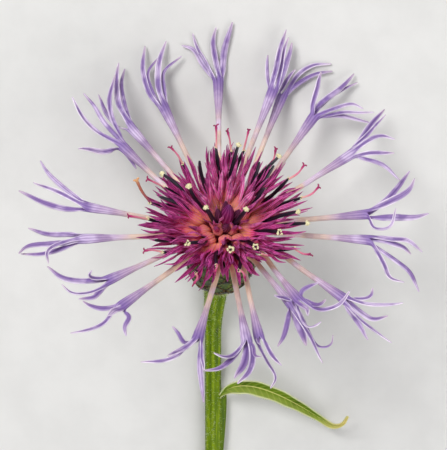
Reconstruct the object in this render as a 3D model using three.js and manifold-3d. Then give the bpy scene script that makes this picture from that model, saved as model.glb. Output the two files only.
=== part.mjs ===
// A cut mountain cornflower (Centaurea montana) lying on its side, in millimetres, +Z up, ground at z = 0.
// The ribbed stem lies along the ground with its cut end at -Y, the neck bends up, and the open head
// leans away from it until its far ray florets rest on the ground.
import * as THREE from "three";
import { mergeVertices } from "three/addons/utils/BufferGeometryUtils.js";
import Module from "manifold-3d";

const wasm = await Module();
wasm.setup();

const { Vector3 } = THREE;
const UP = new Vector3(0, 0, 1);
const rad = THREE.MathUtils.degToRad;
const { lerp, clamp, smoothstep } = THREE.MathUtils;

// ---- driving dimensions, millimetres and degrees ----
const CENTRE_SHIFT = [-0.58, 14.955];  // puts the middle of the footprint over the origin

// The head: its axis, and the point where all the florets meet.
const HEAD_AT = new Vector3(0.6, 0, 22.3);
const HEAD_TILT = 39.6;                  // from the vertical, towards +Y
const HEAD_SWING = 7;                    // of that lean, towards +X
const LIE = 0.45;                        // height of a resting lobe's middle over the ground
const EYE_DISTANCE = 340;                // of the eye that the ray florets are laid out for
const EYE_LEAN = 9.7;                    // of its direction, from the vertical, towards +Y

// Involucre, measured along the head's axis from HEAD_AT.
const CUP_BOTTOM = -17.4;
const CUP_WIDEST = -11;
const CUP_MOUTH = -3.7;
const CUP_FLOOR = -5.6;
const CUP_RADIUS = 6.4;
const MOUTH_RADIUS = 6;
const CUP_WALL = 0.6;
const BRACT_ROWS = 4;
const BRACTS_A_ROW = 8;
const BRACT_THICK = 0.7;

// Ray florets.
const RAY_ROOT_RADIUS = 4.3;             // of the ring they stand on
const RAY_ROOT_DEPTH = -5.2;
const RAY_KNEE = [7.2, -0.6];            // radius and height where a tube turns outwards
const TUBE_RADIUS = 0.48;
const TUBE_ROOT = 0.4;                   // its radius at the root
const TUBE_STOPS = [0, 0.2, 0.4, 0.6, 0.8, 0.91, 1];
const FLARE = [1, 0.6];                  // half width and half thickness where the tube opens
const BLADE = 0.6;                       // thickness of a lobe
const LOBE_ROLL = 24;                    // most turn of a lobe's flat side, either way
const HOOK = 45;                         // a lobe that turns more than this at its last point is a hook

// Disc florets.
const DISC_MEET = -2;                    // point on the axis that they radiate from
const DISC_RINGS = [
  // florets, tilt from the axis, reach of the style, azimuth of the first
  { count: 6, tilt: 30, reach: 14.5, turn: 18 },
  { count: 8, tilt: 39, reach: 17, turn: 8 },
  { count: 10, tilt: 52, reach: 19, turn: 24 },
  { count: 11, tilt: 64, reach: 20, turn: 8 },
];
const ANTHER_RADIUS = 0.4;
const CORE_RADIUS = 3.4;
const CORE_TOP = 2.3;
const BUDS = 5;
const BUD_RADIUS = 1.3;                  // of the middle one
const SIDE_BUD_RADIUS = 0.85;
const BUD_TIP = 9.4;

// Stem and leaf.
const STEM_X = -1.6;
const STEM_RADIUS = 1.55;
const STEM_TOP_RADIUS = 2.2;             // under the involucre
const STEM_WING = 1.1;                   // width of the wings that run down from the leaf
const WING_LENGTH = 20;
const STEM_END_Y = -66;
const NECK_Y = -25;                      // where the stem leaves the ground
const RIBS = 7;
const LEAF_NODE_Y = -35.5;
const LEAF_HALF_WIDTH = 2.6;
const LEAF_FOLD = 56;                    // of each half, from flat

// Each ray floret: the azimuth of its root, where its tube ends, and the height of that end over the head's
// plane, then its lobes: three points on the way to the tip, the rise of the tip over the end of the tube,
// and the greatest width. A point is [right, up] of the head's centre as it shows from the eye.
const RAYS = [
  [18, [25.5, 3], 1.5, [
    [[28.5, 5.1], [31.1, 7.7], [33.2, 10.9], 0, 1.1],
    [[30.3, 5.5], [33, 7.3], [34.1, 9.4], 3, 1.3],
    [[30.2, 2.6], [33.9, 2.4], [36.7, 3], 2, 1.4],
    [[26.9, 0.6], [29.6, 0.9], [30.8, 4], 4, 0.7]]],
  [34, [22.6, 13.7], 1, [
    [[24.9, 17], [26.9, 19.9], [28.7, 21.9], -1, 1.1],
    [[25.8, 17.3], [27.3, 19.2], [28.9, 21], 1, 0.7],
    [[25.7, 16.2], [28, 17], [30.7, 16.7], 3, 1],
    [[25.7, 14.1], [28.4, 14], [30.5, 14], 2.5, 0.9],
    [[25.5, 12.9], [28.7, 11.6], [31.6, 9.2], 2, 0.9]]],
  [50, [15.9, 20.4], 0.5, [
    [[15.9, 22.9], [16.7, 26], [17.4, 28.7], 3.4, 1.1],
    [[18.1, 23.5], [21, 25.8], [23.2, 28.3], 1.5, 1.1],
    [[19.2, 24.1], [21.7, 25.6], [23.9, 26.7], 0.5, 0.7],
    [[19.9, 22.1], [22.8, 22.8], [24.9, 22], 2.5, 0.9],
    [[21.2, 21.4], [24.4, 21.2], [26.9, 21.4], 1, 0.7],
    [[20.3, 20.8], [23.5, 20.2], [26.4, 19.1], -1, 0.9]]],
  [66, [10.2, 24], -0.9, [
    [[10.9, 26.5], [11.8, 28], [12.6, 29.1], 5, 0.8],
    [[13.1, 28.1], [16.1, 30.1], [19.2, 30.2], 3.5, 0.9],
    [[13.4, 26.7], [16.5, 28.3], [19.4, 28.8], 2.5, 1.1]]],
  [82, [8.5, 24.9], 1.7, [
    [[7.8, 27.3], [7.5, 29.8], [7.8, 31.8], 3, 0.7],
    [[9.2, 28.9], [10, 32.8], [11, 36.3], 6, 1.2],
    [[10, 29.6], [10.7, 32.5], [11.4, 34.7], 5, 0.9],
    [[10.7, 29.1], [11.5, 31.6], [12.1, 34], 4, 1.2]]],
  [98, [-1.2, 26.7], -0.5, [
    [[-3.9, 30.1], [-5.7, 32.6], [-7.8, 33.5], 3, 1.2],
    [[-3.6, 30.7], [-4.9, 32.8], [-5.8, 35.4], 4.5, 0.8],
    [[-1.8, 30.7], [-2.1, 33.9], [-1.6, 36.6], 6, 1.1],
    [[-0.4, 31], [0.3, 34.1], [1.3, 37.5], 6.5, 1.3]]],
  [114, [-10.9, 22], -0.5, [
    [[-13.6, 24.9], [-14.7, 28.9], [-14.5, 33.2], 2.5, 1],
    [[-12.9, 24.9], [-13.8, 28.7], [-11.6, 31.5], 1.5, 0.6],
    [[-12, 25.6], [-11.9, 29.8], [-10.7, 34.1], 3.5, 1.2],
    [[-11, 25.6], [-10.9, 28.7], [-7.8, 31.3], 2, 0.7]]],
  [130, [-16.8, 18.4], 0, [
    [[-19.1, 18.6], [-21.3, 21.1], [-22.9, 24.6], -1, 1],
    [[-19.2, 22.8], [-19.5, 26.4], [-19.1, 30.3], 1.5, 1.2],
    [[-18.2, 22.8], [-18.6, 26.2], [-18.1, 29.3], -1, 0.9]]],
  [147, [-18.4, 15.2], 1, [
    [[-21.5, 14.4], [-24, 14.6], [-26.4, 14.7], 4, 1.1],
    [[-22.9, 17.9], [-25.9, 20.8], [-27.4, 24.1], 3, 1.1],
    [[-22, 19.7], [-23.7, 22.7], [-25.4, 24.9], 1.6, 0.9],
    [[-20.4, 20.4], [-20.8, 24], [-19.7, 28.2], 1.6, 1],
    [[-17.4, 13.4], [-16.5, 12.3], [-16, 11.1], -1.5, 0.7]]],
  [170, [-24.6, 4.3], 1.5, [
    [[-28.7, 7.4], [-31.8, 10.2], [-33.2, 12.8], 0, 1],
    [[-29.6, 6.8], [-32.1, 8], [-34.5, 8.8], 3, 0.8],
    [[-29.2, 4.2], [-33.6, 5.5], [-37.2, 7.1], 2, 1.1]]],
  [186, [-25.3, -1.4], 1.2, [
    [[-29.6, -0.7], [-33, -0.4], [-35.5, 0.3], 0.5, 1],
    [[-31.4, -2.1], [-35.4, -2.7], [-37.2, -4.2], 2.5, 1.1],
    [[-29.6, -3.2], [-33.2, -4.2], [-36.8, -4.2], 1, 0.9],
    [[-30.3, -2.4], [-32, -3.7], [-31.9, -5.8], 4.5, 0.7]]],
  [202, [-21, -8.8], 1.6, [
    [[-25.6, -9.1], [-29.4, -8.2], [-32.1, -6.4], 1.5, 1.3],
    [[-23.9, -8.5], [-24.4, -7.8], [-24, -7], 4, 0.7],
    [[-24.4, -11], [-27.6, -11], [-29.4, -9.5], 3.5, 0.7],
    [[-22.8, -11], [-23.8, -12], [-26.4, -12.2], 2, 1]]],
  [221, [-18.6, -13.4], 2, [
    [[-22, -14], [-24, -13.4], [-25.7, -12.6], 2, 1],
    [[-19.7, -14.2], [-20.4, -14.6], [-21, -15], 4, 1.4],
    [[-21.7, -16.5], [-24.4, -17.7], [-27.9, -18.3], 3, 0.7],
    [[-17.4, -15.4], [-18, -17.2], [-17.8, -18.8], 1, 0.9]]],
  [262, [-4.9, -19.2], 2.2, [
    [[-7.3, -20], [-8.4, -18.6], [-9.5, -17], 2, 0.8],
    [[-7.6, -21.3], [-9.3, -21.9], [-10.3, -22.2], 4.5, 1.1],
    [[-8.5, -22.3], [-11.6, -23.4], [-15.2, -23.4], 2, 0.8],
    [[-4.6, -23.9], [-4.3, -27.6], [-3.7, -30.9], 2, 1],
    [[-4.3, -22.4], [-4, -23.9], [-3.8, -25], 4, 0.6]]],
  [280, [3.9, -19.7], 3.6, [
    [[1.5, -22.8], [-1, -24.7], [-3.9, -25], 4, 0.9],
    [[1.6, -22.3], [-0.1, -22.4], [-2, -21.8], 5.5, 0.7],
    [[3.6, -22.8], [3, -24.6], [1.6, -26.6], 2, 1.4],
    [[4.9, -22.8], [4.2, -25.3], [2.3, -27.3], 4.5, 1.1],
    [[5, -21.3], [5.5, -22.4], [6.6, -22.6], 5, 0.6]]],
  [296, [6.1, -19], 0.5, [
    [[5.9, -19.5], [6, -19.9], [6.4, -20.3], 1.6, 0.7],
    [[7.8, -23.7], [9.1, -26.4], [8.3, -28.2], 1.5, 0.7],
    [[8, -21.7], [9.1, -23.1], [10.2, -24.1], 3, 0.8]]],
  [314, [11.9, -13.1], 0.2, [
    [[10.7, -12.1], [9.8, -11.9], [8.9, -11.4], 3, 0.7],
    [[11.5, -15.6], [10.8, -18], [9.5, -20.9], 2, 1],
    [[13.4, -16.8], [14.1, -19], [14.7, -20.6], 1, 1.7],
    [[14.5, -17.6], [16.1, -20.4], [17.7, -23.6], 3.5, 0.8],
    [[16.8, -20.9], [19.2, -20.4], [19.5, -18.5], 1.5, 0.5]]],
  [330, [13.2, -12.3], 3.5, [
    [[13.8, -10.8], [15, -9.9], [16.8, -9.5], 1.5, 0.8],
    [[15.8, -13.2], [17.1, -13.2], [18.2, -12.4], 4, 0.9],
    [[16.8, -14.1], [20.6, -13.1], [22.4, -10.7], 5.5, 0.9],
    [[14.1, -13.5], [14.7, -14.1], [15, -15], 5, 0.9],
    [[14.6, -17], [15.7, -17.3], [17.4, -16.3], 4, 0.7]]],
  [346, [21.5, -12.2], 1.5, [
    [[24.4, -12.2], [26.2, -11.6], [26.7, -10.3], 1.5, 0.8],
    [[25.8, -13.2], [29.1, -13.3], [32.1, -12.7], 3.5, 0.8],
    [[24.8, -14.8], [26.8, -15.9], [29.3, -15.3], 1, 1.1],
    [[23.1, -15.2], [24.8, -17.7], [25.8, -19.6], 1, 0.9],
    [[25.3, -16.6], [27.6, -18.4], [30.1, -20.1], 3, 0.7]]],
  [2, [25.8, -1.6], 1.5, [
    [[30.2, -1.5], [32.7, -1.7], [35.6, -3.8], 3.5, 0.9],
    [[30.2, -2.3], [32.3, -2.9], [33.4, -4.3], 1.5, 1.2],
    [[30.5, -5.1], [33.4, -7.4], [34.8, -11.1], 1.5, 1],
    [[28.6, -5.9], [29.8, -8.4], [32.3, -9.1], 4, 0.9]]],
];

// ---- making closed bodies ----

// Gathers one closed surface out of rings of points, each ring running the same way round.
class Shell {
  points = [];
  faces = [];

  ring(points) {
    const first = this.points.length;
    this.points.push(...points);
    return points.map((_, i) => first + i);
  }

  // Walls between two rings of the same size, or from a ring to a single point.
  wall(a, b) {
    a.forEach((_, i) => {
      const next = (i + 1) % a.length;
      const far = b.length === 1 ? 0 : i;
      this.faces.push([a[i], a[next], b[far]]);
      if (b.length > 1) this.faces.push([a[next], b[next], b[far]]);
    });
  }

  // Walls from one ring through all the next ones; returns the last.
  grow(from, rings) {
    return rings.reduce((last, points) => {
      const next = this.ring(points);
      this.wall(last, next);
      return next;
    }, from);
  }

  cap(ring, faceOut = true) {
    for (let i = 1; i < ring.length - 1; i++) {
      const face = [ring[0], ring[i], ring[i + 1]];
      this.faces.push(faceOut ? face : face.reverse());
    }
  }

  geometry() {
    const { points, faces } = this;
    let volume = 0;
    for (const [a, b, c] of faces) volume += points[a].dot(new Vector3().crossVectors(points[b], points[c]));
    if (volume < 0) faces.forEach((face) => face.reverse());
    return new THREE.BufferGeometry().setFromPoints(points).setIndex(faces.flat());
  }
}

// A closed body through a row of rings; the last one may be a single point, a tip.
function loft([first, ...rest]) {
  const shell = new Shell();
  const start = shell.ring(first);
  shell.cap(start, false);
  const end = shell.grow(start, rest);
  if (end.length > 1) shell.cap(end);
  return shell.geometry();
}

// Rings of section(t) points, square to a path; each point is [to the right, towards up].
// The steps are a count, or the places of the rings from 0 to 1.
function sweep(path, steps, up, section) {
  const stops = Array.isArray(steps) ? steps : Array.from({ length: steps + 1 }, (_, i) => i / steps);
  return stops.map((t) => {
    const along = path.getTangent(t);
    const right = new Vector3().crossVectors(along, up).normalize();
    const top = new Vector3().crossVectors(right, along);
    const centre = path.getPoint(t);
    return section(t).map(([x, y]) => centre.clone().addScaledVector(right, x).addScaledVector(top, y));
  });
}

// An even ring of points on an ellipse, with the first one turned by `turn` of a step.
function oval(sides, width, height = width, turn = 0.5) {
  return Array.from({ length: sides }, (_, i) => {
    const angle = (i + turn) / sides * 2 * Math.PI;
    return [width * Math.cos(angle), height * Math.sin(angle)];
  });
}

function plank(width, thick) {
  return [[width / 2, thick / 2], [-width / 2, thick / 2], [-width / 2, -thick / 2], [width / 2, -thick / 2]];
}

function curve(points) {
  return new THREE.CatmullRomCurve3(points, false, "centripetal");
}

function solid(geometry) {
  const bare = geometry.clone();
  bare.deleteAttribute("normal");
  bare.deleteAttribute("uv");
  const welded = mergeVertices(bare, 1e-5);
  const vertProperties = new Float32Array(welded.attributes.position.array);
  const triVerts = new Uint32Array(welded.index.array);
  return new wasm.Manifold(new wasm.Mesh({ numProp: 3, vertProperties, triVerts }));
}

function fuse(geometries) {
  const { vertProperties, triVerts } = geometries.map(solid).reduce((a, b) => a.add(b)).getMesh();
  const geometry = new THREE.BufferGeometry();
  geometry.setAttribute("position", new THREE.BufferAttribute(new Float32Array(vertProperties), 3));
  geometry.setIndex(new THREE.BufferAttribute(new Uint32Array(triVerts), 1));
  return geometry;
}

// Looks up a value between [at, value] stops.
function between(stops, t) {
  const i = clamp(stops.findIndex(([at]) => at >= t), 1, stops.length - 1);
  const [t0, v0] = stops[i - 1];
  const [t1, v1] = stops[i];
  return lerp(v0, v1, clamp((t - t0) / (t1 - t0), 0, 1));
}

// A repeatable draw between -1 and 1.
function draw(seed) {
  const value = Math.sin(seed * 127.1 + 11.7) * 43758.5453;
  return 2 * (value - Math.floor(value)) - 1;
}

// ---- the head's frame ----
const headAxis = new Vector3(
  Math.sin(rad(HEAD_TILT)) * Math.sin(rad(HEAD_SWING)),
  Math.sin(rad(HEAD_TILT)) * Math.cos(rad(HEAD_SWING)),
  Math.cos(rad(HEAD_TILT)),
);
const headRight = new Vector3(1, 0, 0).addScaledVector(headAxis, -headAxis.x).normalize();
const headFar = new Vector3().crossVectors(headAxis, headRight);
const headTurn = new THREE.Matrix4().makeBasis(headRight, headFar, headAxis);
const groundUp = new Vector3(headRight.z, headFar.z, headAxis.z);

// A point of the head, lifted straight up where it would be lower than `least` over the ground.
function overGround(point, least) {
  const height = HEAD_AT.z + point.dot(groundUp);
  return height < least ? point.addScaledVector(groundUp, least - height) : point;
}

// The eye and the right and up of what it sees, in the head's frame.
const toHead = (vector) => vector.applyMatrix4(headTurn.clone().invert());
const lean = rad(EYE_LEAN);
const eye = toHead(new Vector3(0, Math.sin(lean), Math.cos(lean)).multiplyScalar(EYE_DISTANCE));
const eyeRight = toHead(new Vector3(1, 0, 0));
const eyeUp = toHead(new Vector3(0, Math.cos(lean), -Math.sin(lean)));

// The point of the head that shows at [right, up] from the eye and is at a height over the head's plane.
function seen([right, up], height) {
  const on = eyeRight.clone().multiplyScalar(right).addScaledVector(eyeUp, up);
  return eye.clone().lerp(on, (height - eye.z) / (on.z - eye.z));
}

// A point of the head by its distance from the axis, its azimuth and its height.
function polar(radius, azimuth, height) {
  return new Vector3(radius * Math.cos(rad(azimuth)), radius * Math.sin(rad(azimuth)), height);
}

// ---- ray florets ----
const LOBE_WIDTH = [[0, 0.7], [0.25, 0.88], [0.5, 1], [0.75, 0.76], [1, 0.15]];

function rayTube(root, end) {
  const [kneeRadius, kneeHeight] = RAY_KNEE;
  const knee = polar(kneeRadius, root, kneeHeight);
  const path = curve([
    polar(RAY_ROOT_RADIUS, root, RAY_ROOT_DEPTH),
    polar(RAY_ROOT_RADIUS + 0.15, root, RAY_ROOT_DEPTH + 2),
    polar(RAY_ROOT_RADIUS + 1.1, root, -1.5),
    knee,
    knee.clone().lerp(end, 0.5),
    end,
  ]);
  const section = (t) => {
    const thin = lerp(TUBE_ROOT, TUBE_RADIUS, smoothstep(t, 0.2, 0.6));
    const open = smoothstep(t, 0.84, 1);
    return oval(6, lerp(thin, FLARE[0], open), lerp(thin, FLARE[1], open), 0);
  };
  return loft(sweep(path, TUBE_STOPS, UP, section));
}

function rayLobe(end, [first, second, tip, rise, width], roll) {
  const out = new Vector3(end.x, end.y, 0).normalize();
  const early = seen(first, end.z + rise * 0.35);
  const late = seen(second, end.z + rise * 0.7);
  const last = seen(tip, end.z + rise);
  const leadIn = early.clone().sub(end).dot(out) > 1.5 ? 2 : 0.8;
  const path = curve([
    end.clone().addScaledVector(out, -leadIn),
    end.clone().lerp(early, 0.1),
    early,
    late,
    last,
  ].map((point) => overGround(point, LIE)));
  const up = UP.clone().applyAxisAngle(out, rad(roll));
  const hooked = late.clone().sub(early).angleTo(last.clone().sub(late)) > rad(HOOK);
  const section = (t) => plank(width * between(LOBE_WIDTH, t), lerp(BLADE, BLADE * 0.8, t));
  const rings = sweep(path, hooked ? 5 : 4, up, section);
  return loft(rings.map((ring) => ring.map((point) => overGround(point, 0))));
}

function rayFloret([root, at, height, lobes], index) {
  const end = seen(at, height);
  const blades = lobes.map((lobe, i) => rayLobe(end, lobe, LOBE_ROLL * draw(index * 7 + i)));
  return fuse([rayTube(root, end), ...blades]);
}

// ---- disc florets ----
function discDirection(tilt, azimuth) {
  return polar(Math.sin(rad(tilt)), azimuth, Math.cos(rad(tilt)));
}

// One small floret: thin tube, swollen throat, five narrow lobes, and the dark anther tube with its style.
function discFloret(tilt, azimuth, reach, seed) {
  const meet = new Vector3(0, 0, DISC_MEET);
  const at = (distance, lean) => discDirection(tilt + lean, azimuth).multiplyScalar(distance).add(meet);
  const mouth = reach * 0.46;
  const shell = new Shell();
  const throat = curve([at(2.6, -5), at(reach * 0.26, -2), at(reach * 0.36, -1), at(mouth, 0)]);
  const sizes = [[0, 0.42], [0.4, 0.5], [0.75, 0.98], [1, 0.85]];
  const turn = draw(seed);
  const [foot, ...rings] = sweep(throat, 3, UP, (t) => oval(5, between(sizes, t), between(sizes, t), turn));
  const start = shell.ring(foot);
  shell.cap(start, false);
  const rim = shell.grow(start, rings);

  const sway = 4 * draw(seed + 50);
  const anthers = curve([at(mouth + 0.1, 0), at(reach * 0.66, sway * 0.4), at(reach * 0.84, sway)]);
  const [heart, ...tube] = sweep(anthers, 2, UP, () => oval(5, ANTHER_RADIUS, ANTHER_RADIUS, turn));
  const middle = shell.ring(heart);
  shell.grow(middle, [...tube, [at(reach, sway * 1.5)]]);

  const axis = discDirection(tilt, azimuth);
  rim.forEach((_, i) => {
    const next = (i + 1) % rim.length;
    const cell = [rim[i], rim[next], middle[next], middle[i]];
    const centre = at(mouth, 0);
    const outward = shell.points[rim[i]].clone().add(shell.points[rim[next]]).multiplyScalar(0.5).sub(centre);
    outward.normalize();
    const spread = 2.1 + 0.5 * draw(seed * 5 + i);
    const tip = reach * (0.8 + 0.03 * draw(seed + i));
    const along = at(lerp(mouth, tip, 0.42), 0).addScaledVector(outward, 1.1);
    const side = new Vector3().crossVectors(outward, axis).multiplyScalar(0.36);
    const thick = outward.clone().multiplyScalar(0.3);
    const waist = [[-1, 1], [1, 1], [1, -1], [-1, -1]].map(([x, y]) => (
      along.clone().addScaledVector(side, x).addScaledVector(thick, y)
    ));
    shell.grow(cell, [waist, [at(tip, 0).addScaledVector(outward, spread)]]);
  });
  return shell.geometry();
}

function discFlorets() {
  const core = new THREE.LatheGeometry([
    new THREE.Vector2(0, RAY_ROOT_DEPTH),
    new THREE.Vector2(CORE_RADIUS, RAY_ROOT_DEPTH),
    new THREE.Vector2(CORE_RADIUS, -1.5),
    new THREE.Vector2(CORE_RADIUS * 0.8, CORE_TOP * 0.6),
    new THREE.Vector2(0, CORE_TOP),
  ], 10).rotateX(Math.PI / 2);
  const pieces = [core];
  DISC_RINGS.forEach(({ count, tilt, reach, turn }, ring) => {
    for (let i = 0; i < count; i++) {
      const seed = ring * 20 + i + 1;
      const azimuth = turn + (i + 0.18 * draw(seed + 0.3)) * 360 / count;
      pieces.push(discFloret(tilt + 2.5 * draw(seed + 0.6), azimuth, reach * (1 + 0.04 * draw(seed)), seed));
    }
  });
  return fuse(pieces);
}

// The tuft of unopened florets in the middle: one blunt bud and smaller ones round it, on a shared foot.
function centreBuds() {
  const base = CORE_TOP + 0.45;
  const foot = new THREE.CylinderGeometry(1.4, 1.15, 1.8, 8).rotateX(Math.PI / 2).translate(0, 0, base + 0.9);
  const pieces = [foot];
  for (let i = 0; i < BUDS; i++) {
    const side = i === 0 ? 0 : 1;
    const azimuth = i * 360 / (BUDS - 1) + 12 * draw(i + 3);
    const tip = BUD_TIP - 2.2 * side * (0.8 + 0.2 * draw(i + 9));
    const path = curve([
      polar(0.9 * side, azimuth, base + 0.3),
      polar(1.5 * side, azimuth, lerp(base, tip, 0.5)),
      polar(2 * side, azimuth, tip),
    ]);
    const radius = lerp(BUD_RADIUS, SIDE_BUD_RADIUS, side);
    const sizes = [[0, 0.6], [0.34, 1], [0.67, 0.85], [1, 0.2]];
    pieces.push(loft(sweep(path, 3, new Vector3(1, 0, 0), (t) => oval(6, radius * between(sizes, t)))));
  }
  return fuse(pieces);
}

// ---- involucre ----
function cupRadius(height) {
  if (height < CUP_WIDEST) {
    const t = (height - CUP_BOTTOM) / (CUP_WIDEST - CUP_BOTTOM);
    return lerp(2.7, CUP_RADIUS, Math.sin(t * Math.PI / 2) ** 0.8);
  }
  const t = (height - CUP_WIDEST) / (CUP_MOUTH - CUP_WIDEST);
  return lerp(CUP_RADIUS, MOUTH_RADIUS, t * t);
}

function involucre() {
  const profile = [new THREE.Vector2(0, CUP_BOTTOM)];
  for (let i = 0; i <= 5; i++) {
    const height = lerp(CUP_BOTTOM, CUP_MOUTH, i / 5);
    profile.push(new THREE.Vector2(cupRadius(height) - 0.25, height));
  }
  profile.push(new THREE.Vector2(MOUTH_RADIUS - CUP_WALL, CUP_MOUTH));
  profile.push(new THREE.Vector2(MOUTH_RADIUS - CUP_WALL, CUP_FLOOR));
  profile.push(new THREE.Vector2(0, CUP_FLOOR));
  const pieces = [new THREE.LatheGeometry(profile, 14).rotateX(Math.PI / 2)];
  for (let row = 0; row < BRACT_ROWS; row++) {
    const foot = lerp(CUP_BOTTOM + 0.6, CUP_MOUTH - 5, row / (BRACT_ROWS - 1));
    const length = lerp(3.6, 5.4, row / (BRACT_ROWS - 1));
    for (let i = 0; i < BRACTS_A_ROW; i++) {
      const azimuth = (i + row / 2) * 360 / BRACTS_A_ROW;
      const width = 2.2 * cupRadius(foot + length * 0.4) * Math.sin(Math.PI / BRACTS_A_ROW);
      const path = curve([0, 0.45, 0.8, 1].map((t) => {
        const height = foot + length * t;
        return polar(cupRadius(Math.min(height, CUP_MOUTH)) - 0.35 + 0.3 * t, azimuth, height);
      }));
      const widths = [[0, 0.75], [0.45, 1], [0.8, 0.6], [1, 0.12]];
      const out = polar(1, azimuth, 0);
      pieces.push(loft(sweep(path, 2, out, (t) => {
        const half = width / 2 * between(widths, t);
        return [[half, 0], [0, BRACT_THICK], [-half, 0]];
      })));
    }
  }
  return fuse(pieces);
}

// ---- stem ----
function stem() {
  const foot = headAxis.clone().multiplyScalar(CUP_BOTTOM - 0.3).add(HEAD_AT);
  const straight = NECK_Y - STEM_END_Y;
  const neck = new THREE.CubicBezierCurve3(
    new Vector3(STEM_X, NECK_Y, STEM_RADIUS),
    new Vector3(STEM_X, NECK_Y + 5.5, STEM_RADIUS),
    foot.clone().addScaledVector(headAxis, -5),
    foot,
  );
  const rings = [];
  const ring = (at, along, radius, wing) => {
    const right = new Vector3().crossVectors(along, UP).normalize();
    const top = new Vector3().crossVectors(right, along);
    return Array.from({ length: RIBS * 2 }, (_, i) => {
      const angle = (i + 0.5) * Math.PI / RIBS;
      const outer = radius * (i % 2 ? 1 : 0.86);
      const x = Math.cos(angle) * outer + (i === 0 ? wing : 0) + (i === 2 * RIBS - 1 ? wing : 0);
      return at.clone().addScaledVector(right, x).addScaledVector(top, Math.sin(angle) * outer);
    });
  };
  for (const t of [0, 0.15, 0.3, 0.42, 0.52, 0.6, 0.68, 0.76, 0.84, 0.92]) {
    const y = STEM_END_Y + straight * t;
    const below = LEAF_NODE_Y - y;
    const wing = below > 0 ? STEM_WING * (1 - smoothstep(below, 1, WING_LENGTH)) : 0;
    rings.push(ring(new Vector3(STEM_X, y, STEM_RADIUS), new Vector3(0, 1, 0), STEM_RADIUS, wing));
  }
  for (let i = 0; i <= 7; i++) {
    const t = i / 7;
    const radius = lerp(STEM_RADIUS, STEM_TOP_RADIUS, smoothstep(t, 0.15, 1));
    rings.push(ring(neck.getPoint(t), neck.getTangent(t), radius, 0));
  }
  for (const row of rings) {
    for (const point of row) point.z = Math.max(point.z, 0);
  }
  return loft(rings);
}

// ---- leaf ----
function leaf() {
  const path = curve([
    new Vector3(0.3, LEAF_NODE_Y, 2.6),
    new Vector3(1.7, -34.1, 3.2),
    new Vector3(3.9, -33.5, 3.5),
    new Vector3(6.8, -33.8, 3.6),
    new Vector3(10.6, -35.2, 3.4),
    new Vector3(14.5, -37.3, 3),
    new Vector3(18.4, -39.8, 2.5),
    new Vector3(21.4, -41.7, 2.4),
    new Vector3(23.2, -41.2, 3.4),
    new Vector3(24.3, -39, 5.2),
  ]);
  const widths = [[0, 0.32], [0.15, 0.85], [0.3, 1], [0.5, 0.85], [0.7, 0.5], [0.85, 0.35], [1, 0.12]];
  const fold = rad(LEAF_FOLD);
  const rings = sweep(path, 14, UP, (t) => {
    const half = LEAF_HALF_WIDTH * between(widths, t);
    const x = half * Math.cos(fold);
    const y = half * Math.sin(fold) * 0.75;
    return [[0, 0.3], [-x, y + 0.3], [-x - 0.35, y - 0.1], [0, -0.45], [x + 0.35, y - 0.1], [x, y + 0.3]];
  });
  return loft(rings.map((ring) => ring.map((point) => point.setZ(Math.max(point.z, 0)))));
}

// ---- the plant ----
const paint = (color, roughness) => new THREE.MeshStandardMaterial({ color, roughness, metalness: 0 });
const LILAC = paint(0x9a80c8, 0.6);
const MAGENTA = paint(0xb03a8c, 0.6);
const PURPLE = paint(0x5a1c4c, 0.55);
const GREEN = paint(0x6f8f2a, 0.7);
const DARK_GREEN = paint(0x33471a, 0.75);
const LEAF_GREEN = paint(0x5f8723, 0.65);

function piece(name, geometry, material) {
  const mesh = new THREE.Mesh(geometry, material);
  mesh.name = name;
  return mesh;
}

const head = new THREE.Group();
head.position.copy(HEAD_AT);
head.quaternion.setFromRotationMatrix(headTurn);
RAYS.forEach((ray, i) => {
  const name = `ray_floret_${String(i + 1).padStart(2, "0")}`;
  head.add(piece(name, rayFloret(ray, i), LILAC));
});
head.add(piece("disc_florets", discFlorets(), MAGENTA));
head.add(piece("centre_buds", centreBuds(), PURPLE));
head.add(piece("involucre", involucre(), DARK_GREEN));

const flower = new THREE.Group();
flower.position.set(CENTRE_SHIFT[0], CENTRE_SHIFT[1], 0);
flower.add(head);
flower.add(piece("stem", stem(), GREEN));
flower.add(piece("leaf", leaf(), LEAF_GREEN));

export default flower;
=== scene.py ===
"""The looks of a cut mountain cornflower lying on a pale floor.

Sizes are in millimetres and angles in degrees, in the frame of the CAD model, until a mesh is made.
"""

import math
import random

import bmesh
import bpy
import numpy as np
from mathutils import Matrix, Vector


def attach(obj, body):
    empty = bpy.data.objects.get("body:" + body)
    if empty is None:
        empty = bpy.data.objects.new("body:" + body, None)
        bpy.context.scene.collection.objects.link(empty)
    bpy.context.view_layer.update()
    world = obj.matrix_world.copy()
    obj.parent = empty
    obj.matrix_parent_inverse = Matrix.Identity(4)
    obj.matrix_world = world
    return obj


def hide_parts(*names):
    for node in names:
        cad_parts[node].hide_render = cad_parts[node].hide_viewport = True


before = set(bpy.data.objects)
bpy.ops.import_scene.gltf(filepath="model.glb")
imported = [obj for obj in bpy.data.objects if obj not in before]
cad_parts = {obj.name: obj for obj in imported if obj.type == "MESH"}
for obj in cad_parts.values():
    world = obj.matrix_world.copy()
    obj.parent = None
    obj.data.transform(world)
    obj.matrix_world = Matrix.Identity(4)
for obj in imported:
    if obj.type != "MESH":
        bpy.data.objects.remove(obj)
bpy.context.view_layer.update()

MM = 0.001
UP = np.array([0.0, 0.0, 1.0])
EAST = np.array([1.0, 0.0, 0.0])

# ---- the head's frame ----
CENTRE_SHIFT = np.array([-0.58, 14.955, 0])
HEAD_AT = np.array([0.6, 0, 22.3]) + CENTRE_SHIFT
HEAD_TILT = 39.6                # from the vertical, towards +Y
HEAD_SWING = 7                  # of that lean, towards +X

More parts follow.
